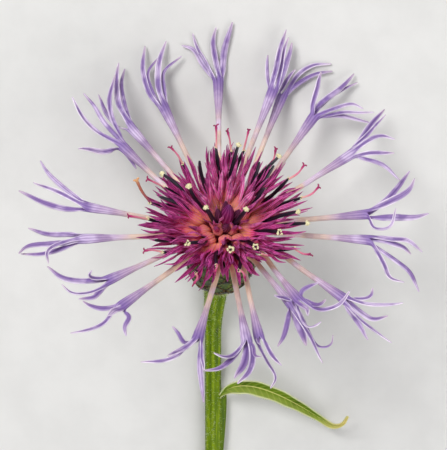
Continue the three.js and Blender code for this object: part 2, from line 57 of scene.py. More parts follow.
# ---- camera, as the photograph saw the head ----
CAMERA_LEAN = 9.7               # from the vertical, towards +Y
CAMERA_DISTANCE = 340
CAMERA_OFFSET = (-0.27, 1.08)   # of its aim from the head's centre, right and up in the picture
CAMERA_LENS = 151.1
CAMERA_SENSOR = 36
CAMERA_CLIP = 0.01

# ---- ray florets ----
RAY_ROOT_RADIUS = 4.3
RAY_ROOT_DEPTH = -5.2
RAY_KNEE = (7.2, -0.6)          # radius and height where a tube turns outwards
TUBE_RADIUS = 0.5
TUBE_ROOT = 0.42
FLARE = (1.05, 0.62)            # half width and half thickness where a tube opens
RAY_SKIN = 0.2                  # thickness of the corolla
TUBE_ROWS = 21
TUBE_OPENS = 0.66                # part of its length where a tube begins to open
LOBE_ROWS = 18
LOBE_COLUMNS = 4
LOBE_ROLL = 24                  # most turn of a lobe's flat side, either way
LOBE_HOLLOW = 0.42              # how deep a lobe is hollowed, as a part of its half width
LOBE_TURN = 0.34                # part of its length over which its flat side turns to its own way
LOBE_BLEND = 0.22               # and over which the shape of the rim fades
LOBE_MARGIN = 0.12              # part of its length after which its pale margin, a painted highlight, is full
LOBE_SWAY = (0.1, 9)            # how far a lobe winds sideways, and how fast in radians along it
LOBE_WAVE = (0.25, 6)           # and up and down
LOBE_WIDTH = ((0, 0.9), (0.2, 0.86), (0.5, 1), (0.75, 0.74), (0.9, 0.42), (1, 0.1))
LOBE_GROUND = 0.5               # least height of a lobe's middle over the ground
PETAL_GROUND = 0.28             # and of any of its points

# Each ray floret: the azimuth of its root, where its tube ends, and the height of that end over the head's
# plane, then its lobes: three points on the way to the tip, the rise of the tip over the end of the tube,
# and the greatest width. A point is [right, up] of the head's centre as it shows from the camera.
RAYS = [
    [18, [25.5, 3], 1.5, [
      [[28.5, 5.1], [31.1, 7.7], [33.2, 10.9], 0, 1.1],
      [[30.3, 5.5], [33, 7.3], [34.1, 9.4], 3, 1.3],
      [[30.2, 2.6], [33.9, 2.4], [36.7, 3], 2, 1.4],
      [[26.9, 0.6], [29.6, 0.9], [30.8, 4], 4, 0.7]]],
    [34, [22.6, 13.7], 1, [
      [[24.9, 17], [26.9, 19.9], [28.7, 21.9], -1, 1.1],
      [[25.8, 17.3], [27.3, 19.2], [28.9, 21], 1, 0.7],
      [[25.7, 16.2], [28, 17], [30.7, 16.7], 3, 1],
      [[25.7, 14.1], [28.4, 14], [30.5, 14], 2.5, 0.9],
      [[25.5, 12.9], [28.7, 11.6], [31.6, 9.2], 2, 0.9]]],
    [50, [15.9, 20.4], 0.5, [
      [[15.9, 22.9], [16.7, 26], [17.4, 28.7], 3.4, 1.1],
      [[18.1, 23.5], [21, 25.8], [23.2, 28.3], 1.5, 1.1],
      [[19.2, 24.1], [21.7, 25.6], [23.9, 26.7], 0.5, 0.7],
      [[19.9, 22.1], [22.8, 22.8], [24.9, 22], 2.5, 0.9],
      [[21.2, 21.4], [24.4, 21.2], [26.9, 21.4], 1, 0.7],
      [[20.3, 20.8], [23.5, 20.2], [26.4, 19.1], -1, 0.9]]],
    [66, [10.2, 24], -0.9, [
      [[10.9, 26.5], [11.8, 28], [12.6, 29.1], 5, 0.8],
      [[13.1, 28.1], [16.1, 30.1], [19.2, 30.2], 3.5, 0.9],
      [[13.4, 26.7], [16.5, 28.3], [19.4, 28.8], 2.5, 1.1]]],
    [82, [8.5, 24.9], 1.7, [
      [[7.8, 27.3], [7.5, 29.8], [7.8, 31.8], 3, 0.7],
      [[9.2, 28.9], [10, 32.8], [11, 36.3], 6, 1.2],
      [[10, 29.6], [10.7, 32.5], [11.4, 34.7], 5, 0.9],
      [[10.7, 29.1], [11.5, 31.6], [12.1, 34], 4, 1.2]]],
    [98, [-1.2, 26.7], -0.5, [
      [[-3.9, 30.1], [-5.7, 32.6], [-7.8, 33.5], 3, 1.2],
      [[-3.6, 30.7], [-4.9, 32.8], [-5.8, 35.4], 4.5, 0.8],
      [[-1.8, 30.7], [-2.1, 33.9], [-1.6, 36.6], 6, 1.1],
      [[-0.4, 31], [0.3, 34.1], [1.3, 37.5], 6.5, 1.3]]],
    [114, [-10.9, 22], -0.5, [
      [[-13.6, 24.9], [-14.7, 28.9], [-14.5, 33.2], 2.5, 1],
      [[-12.9, 24.9], [-13.8, 28.7], [-11.6, 31.5], 1.5, 0.6],
      [[-12, 25.6], [-11.9, 29.8], [-10.7, 34.1], 3.5, 1.2],
      [[-11, 25.6], [-10.9, 28.7], [-7.8, 31.3], 2, 0.7]]],
    [130, [-16.8, 18.4], 0, [
      [[-19.1, 18.6], [-21.3, 21.1], [-22.9, 24.6], -1, 1],
      [[-19.2, 22.8], [-19.5, 26.4], [-19.1, 30.3], 1.5, 1.2],
      [[-18.2, 22.8], [-18.6, 26.2], [-18.1, 29.3], -1, 0.9]]],
    [147, [-18.4, 15.2], 1, [
      [[-21.5, 14.4], [-24, 14.6], [-26.4, 14.7], 4, 1.1],
      [[-22.9, 17.9], [-25.9, 20.8], [-27.4, 24.1], 3, 1.1],
      [[-22, 19.7], [-23.7, 22.7], [-25.4, 24.9], 1.6, 0.9],
      [[-20.4, 20.4], [-20.8, 24], [-19.7, 28.2], 1.6, 1],
      [[-17.4, 13.4], [-16.5, 12.3], [-16, 11.1], -1.5, 0.7]]],
    [170, [-24.6, 4.3], 1.5, [
      [[-28.7, 7.4], [-31.8, 10.2], [-33.2, 12.8], 0, 1],
      [[-29.6, 6.8], [-32.1, 8], [-34.5, 8.8], 3, 0.8],
      [[-29.2, 4.2], [-33.6, 5.5], [-37.2, 7.1], 2, 1.1]]],
    [186, [-25.3, -1.4], 1.2, [
      [[-29.6, -0.7], [-33, -0.4], [-35.5, 0.3], 0.5, 1],
      [[-31.4, -2.1], [-35.4, -2.7], [-37.2, -4.2], 2.5, 1.1],
      [[-29.6, -3.2], [-33.2, -4.2], [-36.8, -4.2], 1, 0.9],
      [[-30.3, -2.4], [-32, -3.7], [-31.9, -5.8], 4.5, 0.7]]],
    [202, [-21, -8.8], 1.6, [
      [[-25.6, -9.1], [-29.4, -8.2], [-32.1, -6.4], 1.5, 1.3],
      [[-23.9, -8.5], [-24.4, -7.8], [-24, -7], 4, 0.7],
      [[-24.4, -11], [-27.6, -11], [-29.4, -9.5], 3.5, 0.7],
      [[-22.8, -11], [-23.8, -12], [-26.4, -12.2], 2, 1]]],
    [221, [-18.6, -13.4], 2, [
      [[-22, -14], [-24, -13.4], [-25.7, -12.6], 2, 1],
      [[-19.7, -14.2], [-20.4, -14.6], [-21, -15], 4, 1.4],
      [[-21.7, -16.5], [-24.4, -17.7], [-27.9, -18.3], 3, 0.7],
      [[-17.4, -15.4], [-18, -17.2], [-17.8, -18.8], 1, 0.9]]],
    [262, [-4.9, -19.2], 2.2, [
      [[-7.3, -20], [-8.4, -18.6], [-9.5, -17], 2, 0.8],
      [[-7.6, -21.3], [-9.3, -21.9], [-10.3, -22.2], 4.5, 1.1],
      [[-8.5, -22.3], [-11.6, -23.4], [-15.2, -23.4], 2, 0.8],
      [[-4.6, -23.9], [-4.3, -27.6], [-3.7, -30.9], 2, 1],
      [[-4.3, -22.4], [-4, -23.9], [-3.8, -25], 4, 0.6]]],
    [280, [3.9, -19.7], 3.6, [
      [[1.5, -22.8], [-1, -24.7], [-3.9, -25], 4, 0.9],
      [[1.6, -22.3], [-0.1, -22.4], [-2, -21.8], 5.5, 0.7],
      [[3.6, -22.8], [3, -24.6], [1.6, -26.6], 2, 1.4],
      [[4.9, -22.8], [4.2, -25.3], [2.3, -27.3], 4.5, 1.1],
      [[5, -21.3], [5.5, -22.4], [6.6, -22.6], 5, 0.6]]],
    [296, [6.1, -19], 0.5, [
      [[5.9, -19.5], [6, -19.9], [6.4, -20.3], 1.6, 0.7],
      [[7.8, -23.7], [9.1, -26.4], [8.3, -28.2], 1.5, 0.7],
      [[8, -21.7], [9.1, -23.1], [10.2, -24.1], 3, 0.8]]],
    [314, [11.9, -13.1], 0.2, [
      [[10.7, -12.1], [9.8, -11.9], [8.9, -11.4], 3, 0.7],
      [[11.5, -15.6], [10.8, -18], [9.5, -20.9], 2, 1],
      [[13.4, -16.8], [14.1, -19], [14.7, -20.6], 1, 1.7],
      [[14.5, -17.6], [16.1, -20.4], [17.7, -23.6], 3.5, 0.8],
      [[16.8, -20.9], [19.2, -20.4], [19.5, -18.5], 1.5, 0.5]]],
    [330, [13.2, -12.3], 3.5, [
      [[13.8, -10.8], [15, -9.9], [16.8, -9.5], 1.5, 0.8],
      [[15.8, -13.2], [17.1, -13.2], [18.2, -12.4], 4, 0.9],
      [[16.8, -14.1], [20.6, -13.1], [22.4, -10.7], 5.5, 0.9],
      [[14.1, -13.5], [14.7, -14.1], [15, -15], 5, 0.9],
      [[14.6, -17], [15.7, -17.3], [17.4, -16.3], 4, 0.7]]],
    [346, [21.5, -12.2], 1.5, [
      [[24.4, -12.2], [26.2, -11.6], [26.7, -10.3], 1.5, 0.8],
      [[25.8, -13.2], [29.1, -13.3], [32.1, -12.7], 3.5, 0.8],
      [[24.8, -14.8], [26.8, -15.9], [29.3, -15.3], 1, 1.1],
      [[23.1, -15.2], [24.8, -17.7], [25.8, -19.6], 1, 0.9],
      [[25.3, -16.6], [27.6, -18.4], [30.1, -20.1], 3, 0.7]]],
    [2, [25.8, -1.6], 1.5, [
      [[30.2, -1.5], [32.7, -1.7], [35.6, -3.8], 3.5, 0.9],
      [[30.2, -2.3], [32.3, -2.9], [33.4, -4.3], 1.5, 1.2],
      [[30.5, -5.1], [33.4, -7.4], [34.8, -11.1], 1.5, 1],
      [[28.6, -5.9], [29.8, -8.4], [32.3, -9.1], 4, 0.9]]],
]

# ---- disc florets ----
# Of each stage, its florets as [right, up, reach]: the tip of each shows at (right, up) of the head's centre
# from the camera, and is `reach` from the point that the florets radiate from.
DISC_MEET = np.array([0, 0, -2])
DISC = [
    ["bulb", [-4.2, -2.4, 10], [-0.2, -2.2, 9], [3.2, -3, 10], [-5.8, 0.6, 10], [5.9, 1.2, 10],
     [-3.4, -5.4, 11.4], [-1.8, 0.6, 7.6], [2, 0.8, 7.6]],
    ["young", [-3.4, 4.3, 12.6], [3.8, 3.9, 12.6]],
    ["wide", [-2.2, 10.4, 13.4], [2.1, 11.2, 13.8], [0.1, 9.4, 12.4], [5.4, 8.6, 14], [-5.2, 8.8, 14]],
    ["knob", [-6.5, 8.1, 16.5], [-11.3, 10.3, 18.5], [9.7, 13.4, 19], [2.4, 15.5, 18.4], [13.1, 3.5, 17],
     [14.8, 1.4, 17.6]],
    ["ring", [9.8, -0.2, 15], [5.5, -2.8, 14], [1, -3.3, 13.5], [-6.7, -2.1, 14]],
    ["dark", [7.1, 7.8, 15], [-4.6, 12.6, 17], [8.8, 11.8, 17.6], [-12.6, -1.6, 16.6], [6.2, 12.4, 17.6],
     [-11.8, 6.2, 17]],
    ["style", [-1.6, 18.7, 20.4], [0.5, 17.8, 19.6], [4.2, 17.9, 19.8], [-9.6, 14.9, 20],
     [-13.8, 9.3, 19.6]],
    ["old", [-15.8, 8.9, 20]],
    ["style", [-17.1, 2.7, 19.4], [-14.3, -3.5, 18], [9.1, 14.6, 19.4], [14.1, 11.7, 20.2], [16.7, 7.8, 20],
     [15.2, -4.2, 18.6], [8.2, -4.4, 16.4], [-5.6, -9.4, 17.6], [-1.8, -7.3, 16.8], [3.6, -8.4, 17.2]],
    ["open", [-13.6, 3.2, 16.4], [-14.6, 0.2, 17], [12.8, 6.2, 16.6], [11.8, -3.4, 16.4], [-9.8, 11, 17],
     [-1, 14.8, 17], [-9.2, -4.6, 16], [-5, -7, 16], [0.6, -7.2, 16], [6, -6.4, 16], [-12.2, -4.6, 17],
     [-7.6, -7.8, 17.4]],
]
# Of each stage: where the mouth of the tube is and where the tips of the lobes are, as parts of the reach,
# how far the tips spread off the floret's line, and the lobes' greatest width. A "bulb" is still shut. A
# "wide" floret has broad pale lobes. In "dark" the anthers are bare; in "young" and "knob" a lump of pollen
# sits on them, and in "ring" a ring of it. A "style" has grown out of them, and an "old" one has withered.
STAGES = {
    "bulb": (0.8, 1.1, 0, 0.62),
    "young": (0.54, 0.74, 1.3, 0.6),
    "wide": (0.58, 1.0, 1.1, 1.5),
    "open": (0.54, 1.0, 1.5, 0.95),
    "dark": (0.54, 0.94, 1.3, 0.9),
    "knob": (0.52, 0.92, 1.4, 0.9),
    "ring": (0.56, 1.0, 1.5, 0.95),
    "style": (0.5, 0.84, 1.7, 0.9),
    "old": (0.5, 0.84, 1.7, 0.9),
}
NO_ANTHERS = ("bulb", "open", "wide")
INNER = ("bulb", "young", "wide", "open")
GROWN = ("style", "old")
# Of the pollen of each stage that has it: how many crumbs, how far from the middle, and a crumb's radius.
CRUMBS = {"young": (5, 0.34, 0.2), "knob": (5, 0.34, 0.2), "ring": (8, 0.44, 0.2),
          "style": (5, 0.24, 0.13), "old": (5, 0.24, 0.13)}
FARTHEST_MOUTH = 9.6
THROAT = ((0, 0.36), (0.34, 0.55), (0.58, 1.15), (0.78, 1.4), (0.92, 1.2), (1, 0.95))
SHUT_THROAT = ((0, 0.36), (0.34, 0.5), (0.56, 0.85), (0.74, 1.14), (0.9, 0.96), (1, 0.5))
DISC_SKIN = 0.14
DISC_LOBES = 5
DISC_LOBE_COLUMNS = 3
DISC_LOBE_ROWS = 10
DISC_LOBE_HOLLOW = -0.7
DISC_LOBE_MARGIN = 0.15
DISC_TUBE_ROWS = 9
DISC_LOBE_WIDTH = ((0, 1), (0.25, 0.8), (0.55, 1), (0.82, 0.6), (1, 0.08))
ANTHER_RADIUS = 0.36
YOUNG_ANTHER_RADIUS = 0.44
ANTHER_ROWS = 12
ANTHER_SIDES = 10
ANTHER_END = 0.82               # of the reach, where a style has grown out
STYLE_RADIUS = 0.2
STYLE_ROWS = 14
STYLE_SIDES = 8
FORK_ROWS = 7
FORK_SIDES = 7
FORK = ((0.6, 0.14), (1, 0.34), (0.8, 0.52))    # of a style's two tips: along, as a part, and aside
LUMP_RADIUS = 0.4               # of the pollen on a "young" or "knob" floret
CORE_RADIUS = 3.4
CORE_SIDES = 24
CORE_TOP = 2.3
CORE_SHAPE = ((RAY_ROOT_DEPTH + 0.1, 1), (-3, 1), (-1.5, 1), (0.2, 0.93), (1.3, 0.78), (2.0, 0.45))
BUDS = 5
BUD_ROWS = 18
BUD_SIDES = 30
BUD_RADIUS = 1.25               # of the middle one
SIDE_BUD_RADIUS = 0.85
BUD_TIP = 9.4
BUD_DROP = 2.2                  # how much lower than the middle one the others end, about
LOW_BUD = 3                     # the lowest one in the picture, which ends as much lower again
BUD_SHAPE = ((0, 0.6), (0.2, 0.9), (0.42, 1), (0.68, 0.84), (0.88, 0.46), (1, 0.12))

# ---- involucre ----
CUP_BOTTOM = -17.4
CUP_WIDEST = -11
CUP_MOUTH = -3.7
CUP_FLOOR = -5.6
CUP_FOOT_RADIUS = 2.7
CUP_RADIUS = 6.4
CUP_SIDES = 40
CUP_ROWS = 14
MOUTH_RADIUS = 6
BRACT_ROWS = 6
BRACTS_A_ROW = 11
BRACT_STEPS = 9
BRACT_SKIN = 0.16
BRACT_FEET = (CUP_BOTTOM + 0.4, CUP_MOUTH - 5.2)        # heights of the lowest and the highest row's feet
BRACT_LENGTHS = (3.6, 5.6)
BRACT_OVERLAP = 1.25
BRACT_ACROSS = (-1, -0.6, 0, 0.6, 1)
BRACT_SHAPE = ((0, 0.7), (0.35, 1), (0.6, 0.86), (0.8, 0.55), (0.93, 0.26), (1, 0.08))
FRINGE_FROM = 3                 # step of a bract where its fringe begins
FRINGE_LENGTH = 1.15

# ---- stem and leaf ----
STEM_X = -1.68 + CENTRE_SHIFT[0]
STEM_RADIUS = 1.6
STEM_TOP_RADIUS = 2.3
STEM_END_Y = -66 + CENTRE_SHIFT[1]
NECK_Y = -25 + CENTRE_SHIFT[1]
RIBS = 7
STEM_SIDES = 84
STEM_ROWS = 110
NECK_ROWS = 56                  # where it bends up to the head
NECK_PULL = 5.5                 # how strongly the bend starts along the stem, and ends along the head's axis
HEAD_PULL = 5
STEM_WING = 1.1                 # width of the wing that runs down the stem from the leaf
WING_LENGTH = 20
STEM_GROUND = 0.02              # least height of the stem's skin, then of a hair and of the leaf
HAIR_GROUND = 0.03
LEAF_GROUND = 0.3
# Of each ring of the cut end: its size, how far it counts as cut, and how far it is sunk into the stem.
STEM_CUT = ((0.45, 1.0, 0.25), (0.8, 0.5, 0.12), (0.93, 0.12, 0.0))
STEM_HAIRS = 2600
STRAY_HAIRS = 0.25              # part of them that stand anywhere, and not on a rib
COLLAR_HAIRS = 900              # at the top of the stem
COLLAR_ROWS = 12
STEM_HAIR_WIDTH = 0.02
COLLAR_HAIR_WIDTH = 0.045
LEAF_HAIR_WIDTH = 0.022
LEAF_NODE_Y = -35.5 + CENTRE_SHIFT[1]
LEAF_HALF_WIDTH = 2.6
LEAF_FOLD = math.radians(56)
LEAF_SKIN = 0.26
LEAF_ROWS = 64
LEAF_COLUMNS = 17
LEAF_WAVE = (0.1, 38)           # of its margin: height, as a part of the half width, and radians along it
LEAF_HAIRS = 4                  # at each point of its margin
LEAF_PATH = ((-0.9, -36.5, 1.7), (1.5, -34.1, 3.2), (3.9, -33.5, 3.5), (6.8, -33.8, 3.6), (10.6, -35.2, 3.4),
             (14.5, -37.3, 3), (18.4, -39.8, 2.5), (21.4, -41.7, 2.4), (23.2, -41.2, 3.4), (24.3, -39, 5.2))
LEAF_WIDTH = ((0, 0.16), (0.05, 0.24), (0.11, 0.55), (0.18, 0.88), (0.3, 1), (0.5, 0.85), (0.7, 0.5),
              (0.85, 0.35), (1, 0.12))

# ---- light: of each lamp its place, what it aims at, its size and its power, in metres and watts ----
LAMPS = {
    "key": ((-0.25, 0.33, 0.5), (0, 0.015, 0.02), 0.3, 3.2),
    "fill": ((0.28, -0.3, 0.42), (0, 0, 0.02), 0.5, 2.0),
    "back": ((0.1, 0.6, 0.25), (0, 0, 0.02), 0.3, 0.7),
}
SKY = (0.93, 0.95, 1.0, 1)
SKY_STRENGTH = 0.3
FLOOR_SIZE = 6                  # in metres
FLOOR_DROP = 0.0001             # in metres, under what rests on it


# ---- small geometry ----
SPLINE_STEPS = 24               # between two of its points


def lerp(a, b, t):
    return a + (b - a) * t


def clamp(value):
    return min(max(value, 0.0), 1.0)


def smooth(value, low, high):
    t = clamp((value - low) / (high - low))
    return t * t * (3 - 2 * t)


def unit(vector):
    return vector / max(np.linalg.norm(vector), 1e-12)


def between(stops, t):
    """Looks up a value between (at, value) stops."""
    return float(np.interp(t, *zip(*stops)))


def polar(radius, azimuth, height=0.0):
    angle = math.radians(azimuth)
    return np.array([radius * math.cos(angle), radius * math.sin(angle), height])


def draw(seed):
    """A repeatable draw between -1 and 1."""
    value = math.sin(seed * 127.1 + 11.7) * 43758.5453
    return 2 * (value - math.floor(value)) - 1


def turned(vector, axis, angle):
    """A vector turned about a unit axis, by an angle in radians."""
    return (vector * math.cos(angle) + np.cross(axis, vector) * math.sin(angle)
            + axis * axis.dot(vector) * (1 - math.cos(angle)))


def blend(t, low, high, a, b):
    return ((high - t) * a + (t - low) * b) / (high - low)


def spline(points, count, start=None):
    """`count` points evenly spaced on a smooth centripetal curve through the points, and its tangents."""
    points = [np.array(p, float) for p in points]
    before = 2 * points[0] - points[1] if start is None else start
    knots = [before, *points, 2 * points[-1] - points[-2]]
    dense = []
    for near in zip(knots, knots[1:], knots[2:], knots[3:]):
        gaps = [max(np.linalg.norm(b - a), 1e-6) ** 0.5 for a, b in zip(near, near[1:])]
        at = [0.0, gaps[0], gaps[0] + gaps[1], sum(gaps)]
        for t in np.linspace(at[1], at[2], SPLINE_STEPS, endpoint=False):
            one = [blend(t, at[i], at[i + 1], near[i], near[i + 1]) for i in range(3)]
            two = [blend(t, at[i], at[i + 2], one[i], one[i + 1]) for i in range(2)]
            dense.append(blend(t, at[1], at[2], *two))
    dense = np.array([*dense, points[-1]])
    gone = np.concatenate([[0], np.cumsum(np.linalg.norm(np.diff(dense, axis=0), axis=1))])
    wanted = np.linspace(0, gone[-1], count)
    line = np.stack([np.interp(wanted, gone, dense[:, k]) for k in range(3)], 1)
    tangents = np.gradient(line, axis=0)
    return line, tangents / np.linalg.norm(tangents, axis=1)[:, None]


def frames(line, tangents, up=UP):
    """A right and a top vector at each point of a path."""
    right = np.cross(tangents, up)
    right /= np.linalg.norm(right, axis=1)[:, None]
    return right, np.cross(right, tangents)


def circle(count, start=0.0):
    return [start + 2 * math.pi * i / count for i in range(count)]


def ring(centre, right, top, angles, size=lambda angle: 1):
    """The points round a centre, each at size(angle) times its way out."""
    return [centre + (right * math.cos(a) + top * math.sin(a)) * size(a) for a in angles]


def around(angles):
    """The attributes that say which way round a tube each point is."""
    return {"round_cos": [math.cos(a) for a in angles], "round_sin": [math.sin(a) for a in angles]}


# ---- the head's frame in use ----
tilt, swing = math.radians(HEAD_TILT), math.radians(HEAD_SWING)
HEAD_AXIS = np.array([math.sin(tilt) * math.sin(swing), math.sin(tilt) * math.cos(swing), math.cos(tilt)])
HEAD_RIGHT = unit(EAST - HEAD_AXIS * HEAD_AXIS[0])
HEAD_BASIS = np.stack([HEAD_RIGHT, np.cross(HEAD_AXIS, HEAD_RIGHT), HEAD_AXIS])


def from_head(points):
    return np.asarray(points) @ HEAD_BASIS + HEAD_AT


# From the head to the camera, and the up of what it sees; then the same in the head's frame.
lean = math.radians(CAMERA_LEAN)
TO_CAMERA = np.array([0, math.sin(lean), math.cos(lean)])
PICTURE_UP = np.array([0, math.cos(lean), -math.sin(lean)])
EYE = HEAD_BASIS @ (TO_CAMERA * CAMERA_DISTANCE)
EYE_RIGHT = HEAD_BASIS @ EAST
EYE_UP = HEAD_BASIS @ PICTURE_UP


def seen(at, height):
    """The point of the head that shows at (right, up) and is at a height over the head's plane."""
    on = EYE_RIGHT * at[0] + EYE_UP * at[1]
    return lerp(EYE, on, (height - EYE[2]) / (on[2] - EYE[2]))


def seen_at_distance(at, centre, distance):
    """The nearest point of the sight line through (right, up) that is at a distance from a centre."""
    sight = unit(EYE_RIGHT * at[0] + EYE_UP * at[1] - EYE)
    along = (centre - EYE).dot(sight)
    miss = np.linalg.norm(EYE + sight * along - centre)
    return EYE + sight * (along - math.sqrt(max(distance ** 2 - miss ** 2, 0)))


def above(point, least):
    """A point of the CAD model's frame, lifted where it would be lower than `least`."""
    return np.array([point[0], point[1], max(point[2], least)])


def over_ground(point, least):
    """A point of the head, lifted straight up where it would be lower than `least`."""
    height = HEAD_AT[2] + point @ HEAD_BASIS[:, 2]
    return point + HEAD_BASIS[:, 2] * (least - height) if height < least else point


# ---- meshes ----
class Maker:
    """Gathers points, faces and one number a point for each named attribute."""

    def __init__(self, clockwise=False):
        self.points, self.faces, self.values = [], [], {}
        self.clockwise = clockwise      # rows run clockwise, seen from the way they grow

    def add(self, points, **values):
        first = len(self.points)
        self.points.extend(points)
        for name, given in values.items():
            column = self.values.setdefault(name, [])
            column.extend([0.0] * (first - len(column)))
            column.extend([given] * len(points) if np.isscalar(given) else given)
        return list(range(first, len(self.points)))

    def bridge(self, a, b, closed=True):
        """Quads between two rows of the same length."""
        for i in range(len(a) if closed else len(a) - 1):
            j = (i + 1) % len(a)
            face = (a[i], a[j], b[j], b[i])
            self.faces.append(face[::-1] if self.clockwise else face)

    def fan(self, loop, point):
        for i, start in enumerate(loop):
            self.faces.append((start, loop[(i + 1) % len(loop)], point))

    def sheet(self, rows, values, closed=False):
        """A surface through rows of points, or a tube if they are closed; each has its own attributes."""
        made = [self.add(row, **given) for row, given in zip(rows, values)]
        for a, b in zip(made, made[1:]):
            self.bridge(a, b, closed)
        return made

    def tube(self, rows, values, start_tip, end_tip):
        """A body through rings, with a point at each end, where what differs round its ring is 0."""
        made = self.sheet(rows, values, closed=True)
        for loop, tip, given in ((made[0][::-1], start_tip, values[0]), (made[-1], end_tip, values[-1])):
            at_tip = {key: value if np.isscalar(value) else 0.0 for key, value in given.items()}
            self.fan(loop, self.add([tip], **at_tip)[0])

    def spike(self, base, waist, tip):
        """A thin pointed body with three corners at its base and at its waist."""
        lower, upper = self.add(base, along=0.0), self.add(waist, along=0.55)
        self.faces.append(tuple(lower[::-1]))
        self.bridge(lower, upper)
        self.fan(upper, self.add([tip], along=1.0)[0])

    def rim(self, loop, angles, place, columns):
        """The points of a tube's rim where lobe number `place` grows, their middle and their angles."""
        chosen = [(place * columns + i) % len(loop) for i in range(columns + 1)]
        row = [loop[c] for c in chosen]
        return row, np.mean([self.points[i] for i in row], 0), [angles[c] for c in chosen]

    def build(self, name, material, slot, *nodes, place=from_head, skin=0, finer=0, inward=True):
        """Makes the object that stands for some CAD nodes.

        A skin gives a sheet its thickness, and finer is its subdivision.
        """
        mesh = bpy.data.meshes.new(name)
        mesh.from_pydata((place(np.array(self.points)) * MM).tolist(), [], self.faces)
        for key, column in self.values.items():
            column = column + [0.0] * (len(self.points) - len(column))
            mesh.attributes.new(key, "FLOAT", "POINT").data.foreach_set("value", column)
        mesh.shade_smooth()
        mesh.materials.append(material)
        made = bpy.data.objects.new(name, mesh)
        bpy.context.scene.collection.objects.link(made)
        if skin:
            solid = made.modifiers.new("skin", "SOLIDIFY")
            solid.thickness = skin * MM
            solid.offset = -1 if inward else 0
            solid.use_even_offset = False
        else:
            facing = bmesh.new()
            facing.from_mesh(mesh)
            bmesh.ops.recalc_face_normals(facing, faces=facing.faces)
            facing.to_mesh(mesh)
            facing.free()
        if finer:
            fine = made.modifiers.new("finer", "SUBSURF")
            fine.levels = fine.render_levels = finer
        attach(made, "root")
        if nodes:
            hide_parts(*nodes)


def round_tube(maker, flow, sides, size, values, up=UP, ends=(0, 0.1)):
    """A closed round body along a spline, from size(t, angle) and values(t, angles) for t from 0 to 1.

    `ends` is how far its two end points stand past the spline.
    """
    line, tangents = flow
    right, top = frames(line, tangents, up)
    angles = circle(sides)
    steps = np.linspace(0, 1, len(line))
    rows = [ring(line[k], right[k], top[k], angles, lambda a, t=t: size(t, a)) for k, t in enumerate(steps)]
    maker.tube(rows, [values(t, angles) for t in steps], line[0] - tangents[0] * ends[0],
               line[-1] + tangents[-1] * ends[1])


def revolve(profile, sides, low, high, rough=0.0):
    """A body of revolution from its (height, radius) pairs and the heights of its two ends."""
    maker = Maker()
    rows = [[polar(radius * (1 + rough * draw(n * sides + i)), i * 360 / sides, height)
             for i in range(sides)] for n, (height, radius) in enumerate(profile)]
    maker.tube(rows, [{}] * len(rows), polar(0, 0, low), polar(0, 0, high))
    return maker


# ---- materials ----
def linear(color):
    """An sRGB colour of 0 to 255 as Blender's linear colour."""
    parts = [c / 255 for c in color]
    return (*[c / 12.92 if c <= 0.04045 else ((c + 0.055) / 1.055) ** 2.4 for c in parts], 1.0)


class Shade:
    """Builds one node material round a Principled shader; `base` is its colour so far."""

    def __init__(self, name, **sockets):
        self.material = bpy.data.materials.new(name)
        self.material.use_nodes = True
        self.tree = self.material.node_tree
        self.shader = self.tree.nodes["Principled BSDF"]
        self.base = None
        for key, value in sockets.items():
            self.shader.inputs[key.replace("_", " ")].default_value = value

    def node(self, kind, **inputs):
        made = self.tree.nodes.new(kind)
        for key, value in inputs.items():
            self.put(made.inputs[key.replace("_", " ")], value)
        return made

    def put(self, socket, value):
        if isinstance(value, bpy.types.NodeSocket):
            self.tree.links.new(value, socket)
        else:
            socket.default_value = value

    def attribute(self, name):
        made = self.node("ShaderNodeAttribute")
        made.attribute_name = name
        return made.outputs["Fac"]

    def math(self, operation, *values):
        made = self.node("ShaderNodeMath")
        made.operation = operation
        for socket, value in zip(made.inputs, values):
            self.put(socket, value)
        return made.outputs[0]

    def times(self, a, b):
        return self.math("MULTIPLY", a, b)

    def plus(self, a, b):
        return self.math("ADD", a, b)

    def power(self, a, b):
        return self.math("POWER", a, b)

    def wave(self, phase):
        """A sine between 0 and 1."""
        return self.math("MULTIPLY_ADD", self.math("SINE", phase), 0.5, 0.5)

    def noise(self, scale, detail, rough=0.55, stretch=None):
        where = self.node("ShaderNodeTexCoord").outputs["Object"]
        if stretch:
            where = self.node("ShaderNodeMapping", Vector=where, Scale=stretch).outputs[0]
        made = self.node("ShaderNodeTexNoise", Vector=where, Scale=scale, Detail=detail, Roughness=rough)
        return made.outputs["Fac"]

    def spread(self, value, low, high, to_low=0.0, to_high=1.0):
        """Takes low to high onto other limits, and no further."""
        made = self.node("ShaderNodeMapRange", Value=value, From_Min=low, From_Max=high, To_Min=to_low,
                         To_Max=to_high)
        return made.outputs[0]

    def ramp(self, factor, *stops):
        made = self.node("ShaderNodeValToRGB", Fac=factor)
        made.color_ramp.interpolation = "EASE"
        elements = made.color_ramp.elements
        while len(elements) < len(stops):
            elements.new(0.5)
        for element, (at, color) in zip(elements, stops):
            element.position = at
            element.color = linear(color)
        return made.outputs[0]

    def mix(self, factor, a, b, blending="MIX"):
        made = self.node("ShaderNodeMix")
        made.data_type = "RGBA"
        made.blend_type = blending
        for socket, value in zip((made.inputs["Factor"], made.inputs[6], made.inputs[7]), (factor, a, b)):
            self.put(socket, value)
        return made.outputs[2]

    def tint(self, amount, color, blending="MIX"):
        self.base = self.mix(amount, self.base, linear(color), blending)

    def bump(self, height, strength, distance):
        made = self.node("ShaderNodeBump", Height=height, Strength=strength, Distance=distance * MM)
        self.tree.links.new(made.outputs[0], self.shader.inputs["Normal"])

    def finish(self, roughness):
        self.put(self.shader.inputs["Base Color"], self.base)
        self.put(self.shader.inputs["Roughness"], roughness)
        return self.material


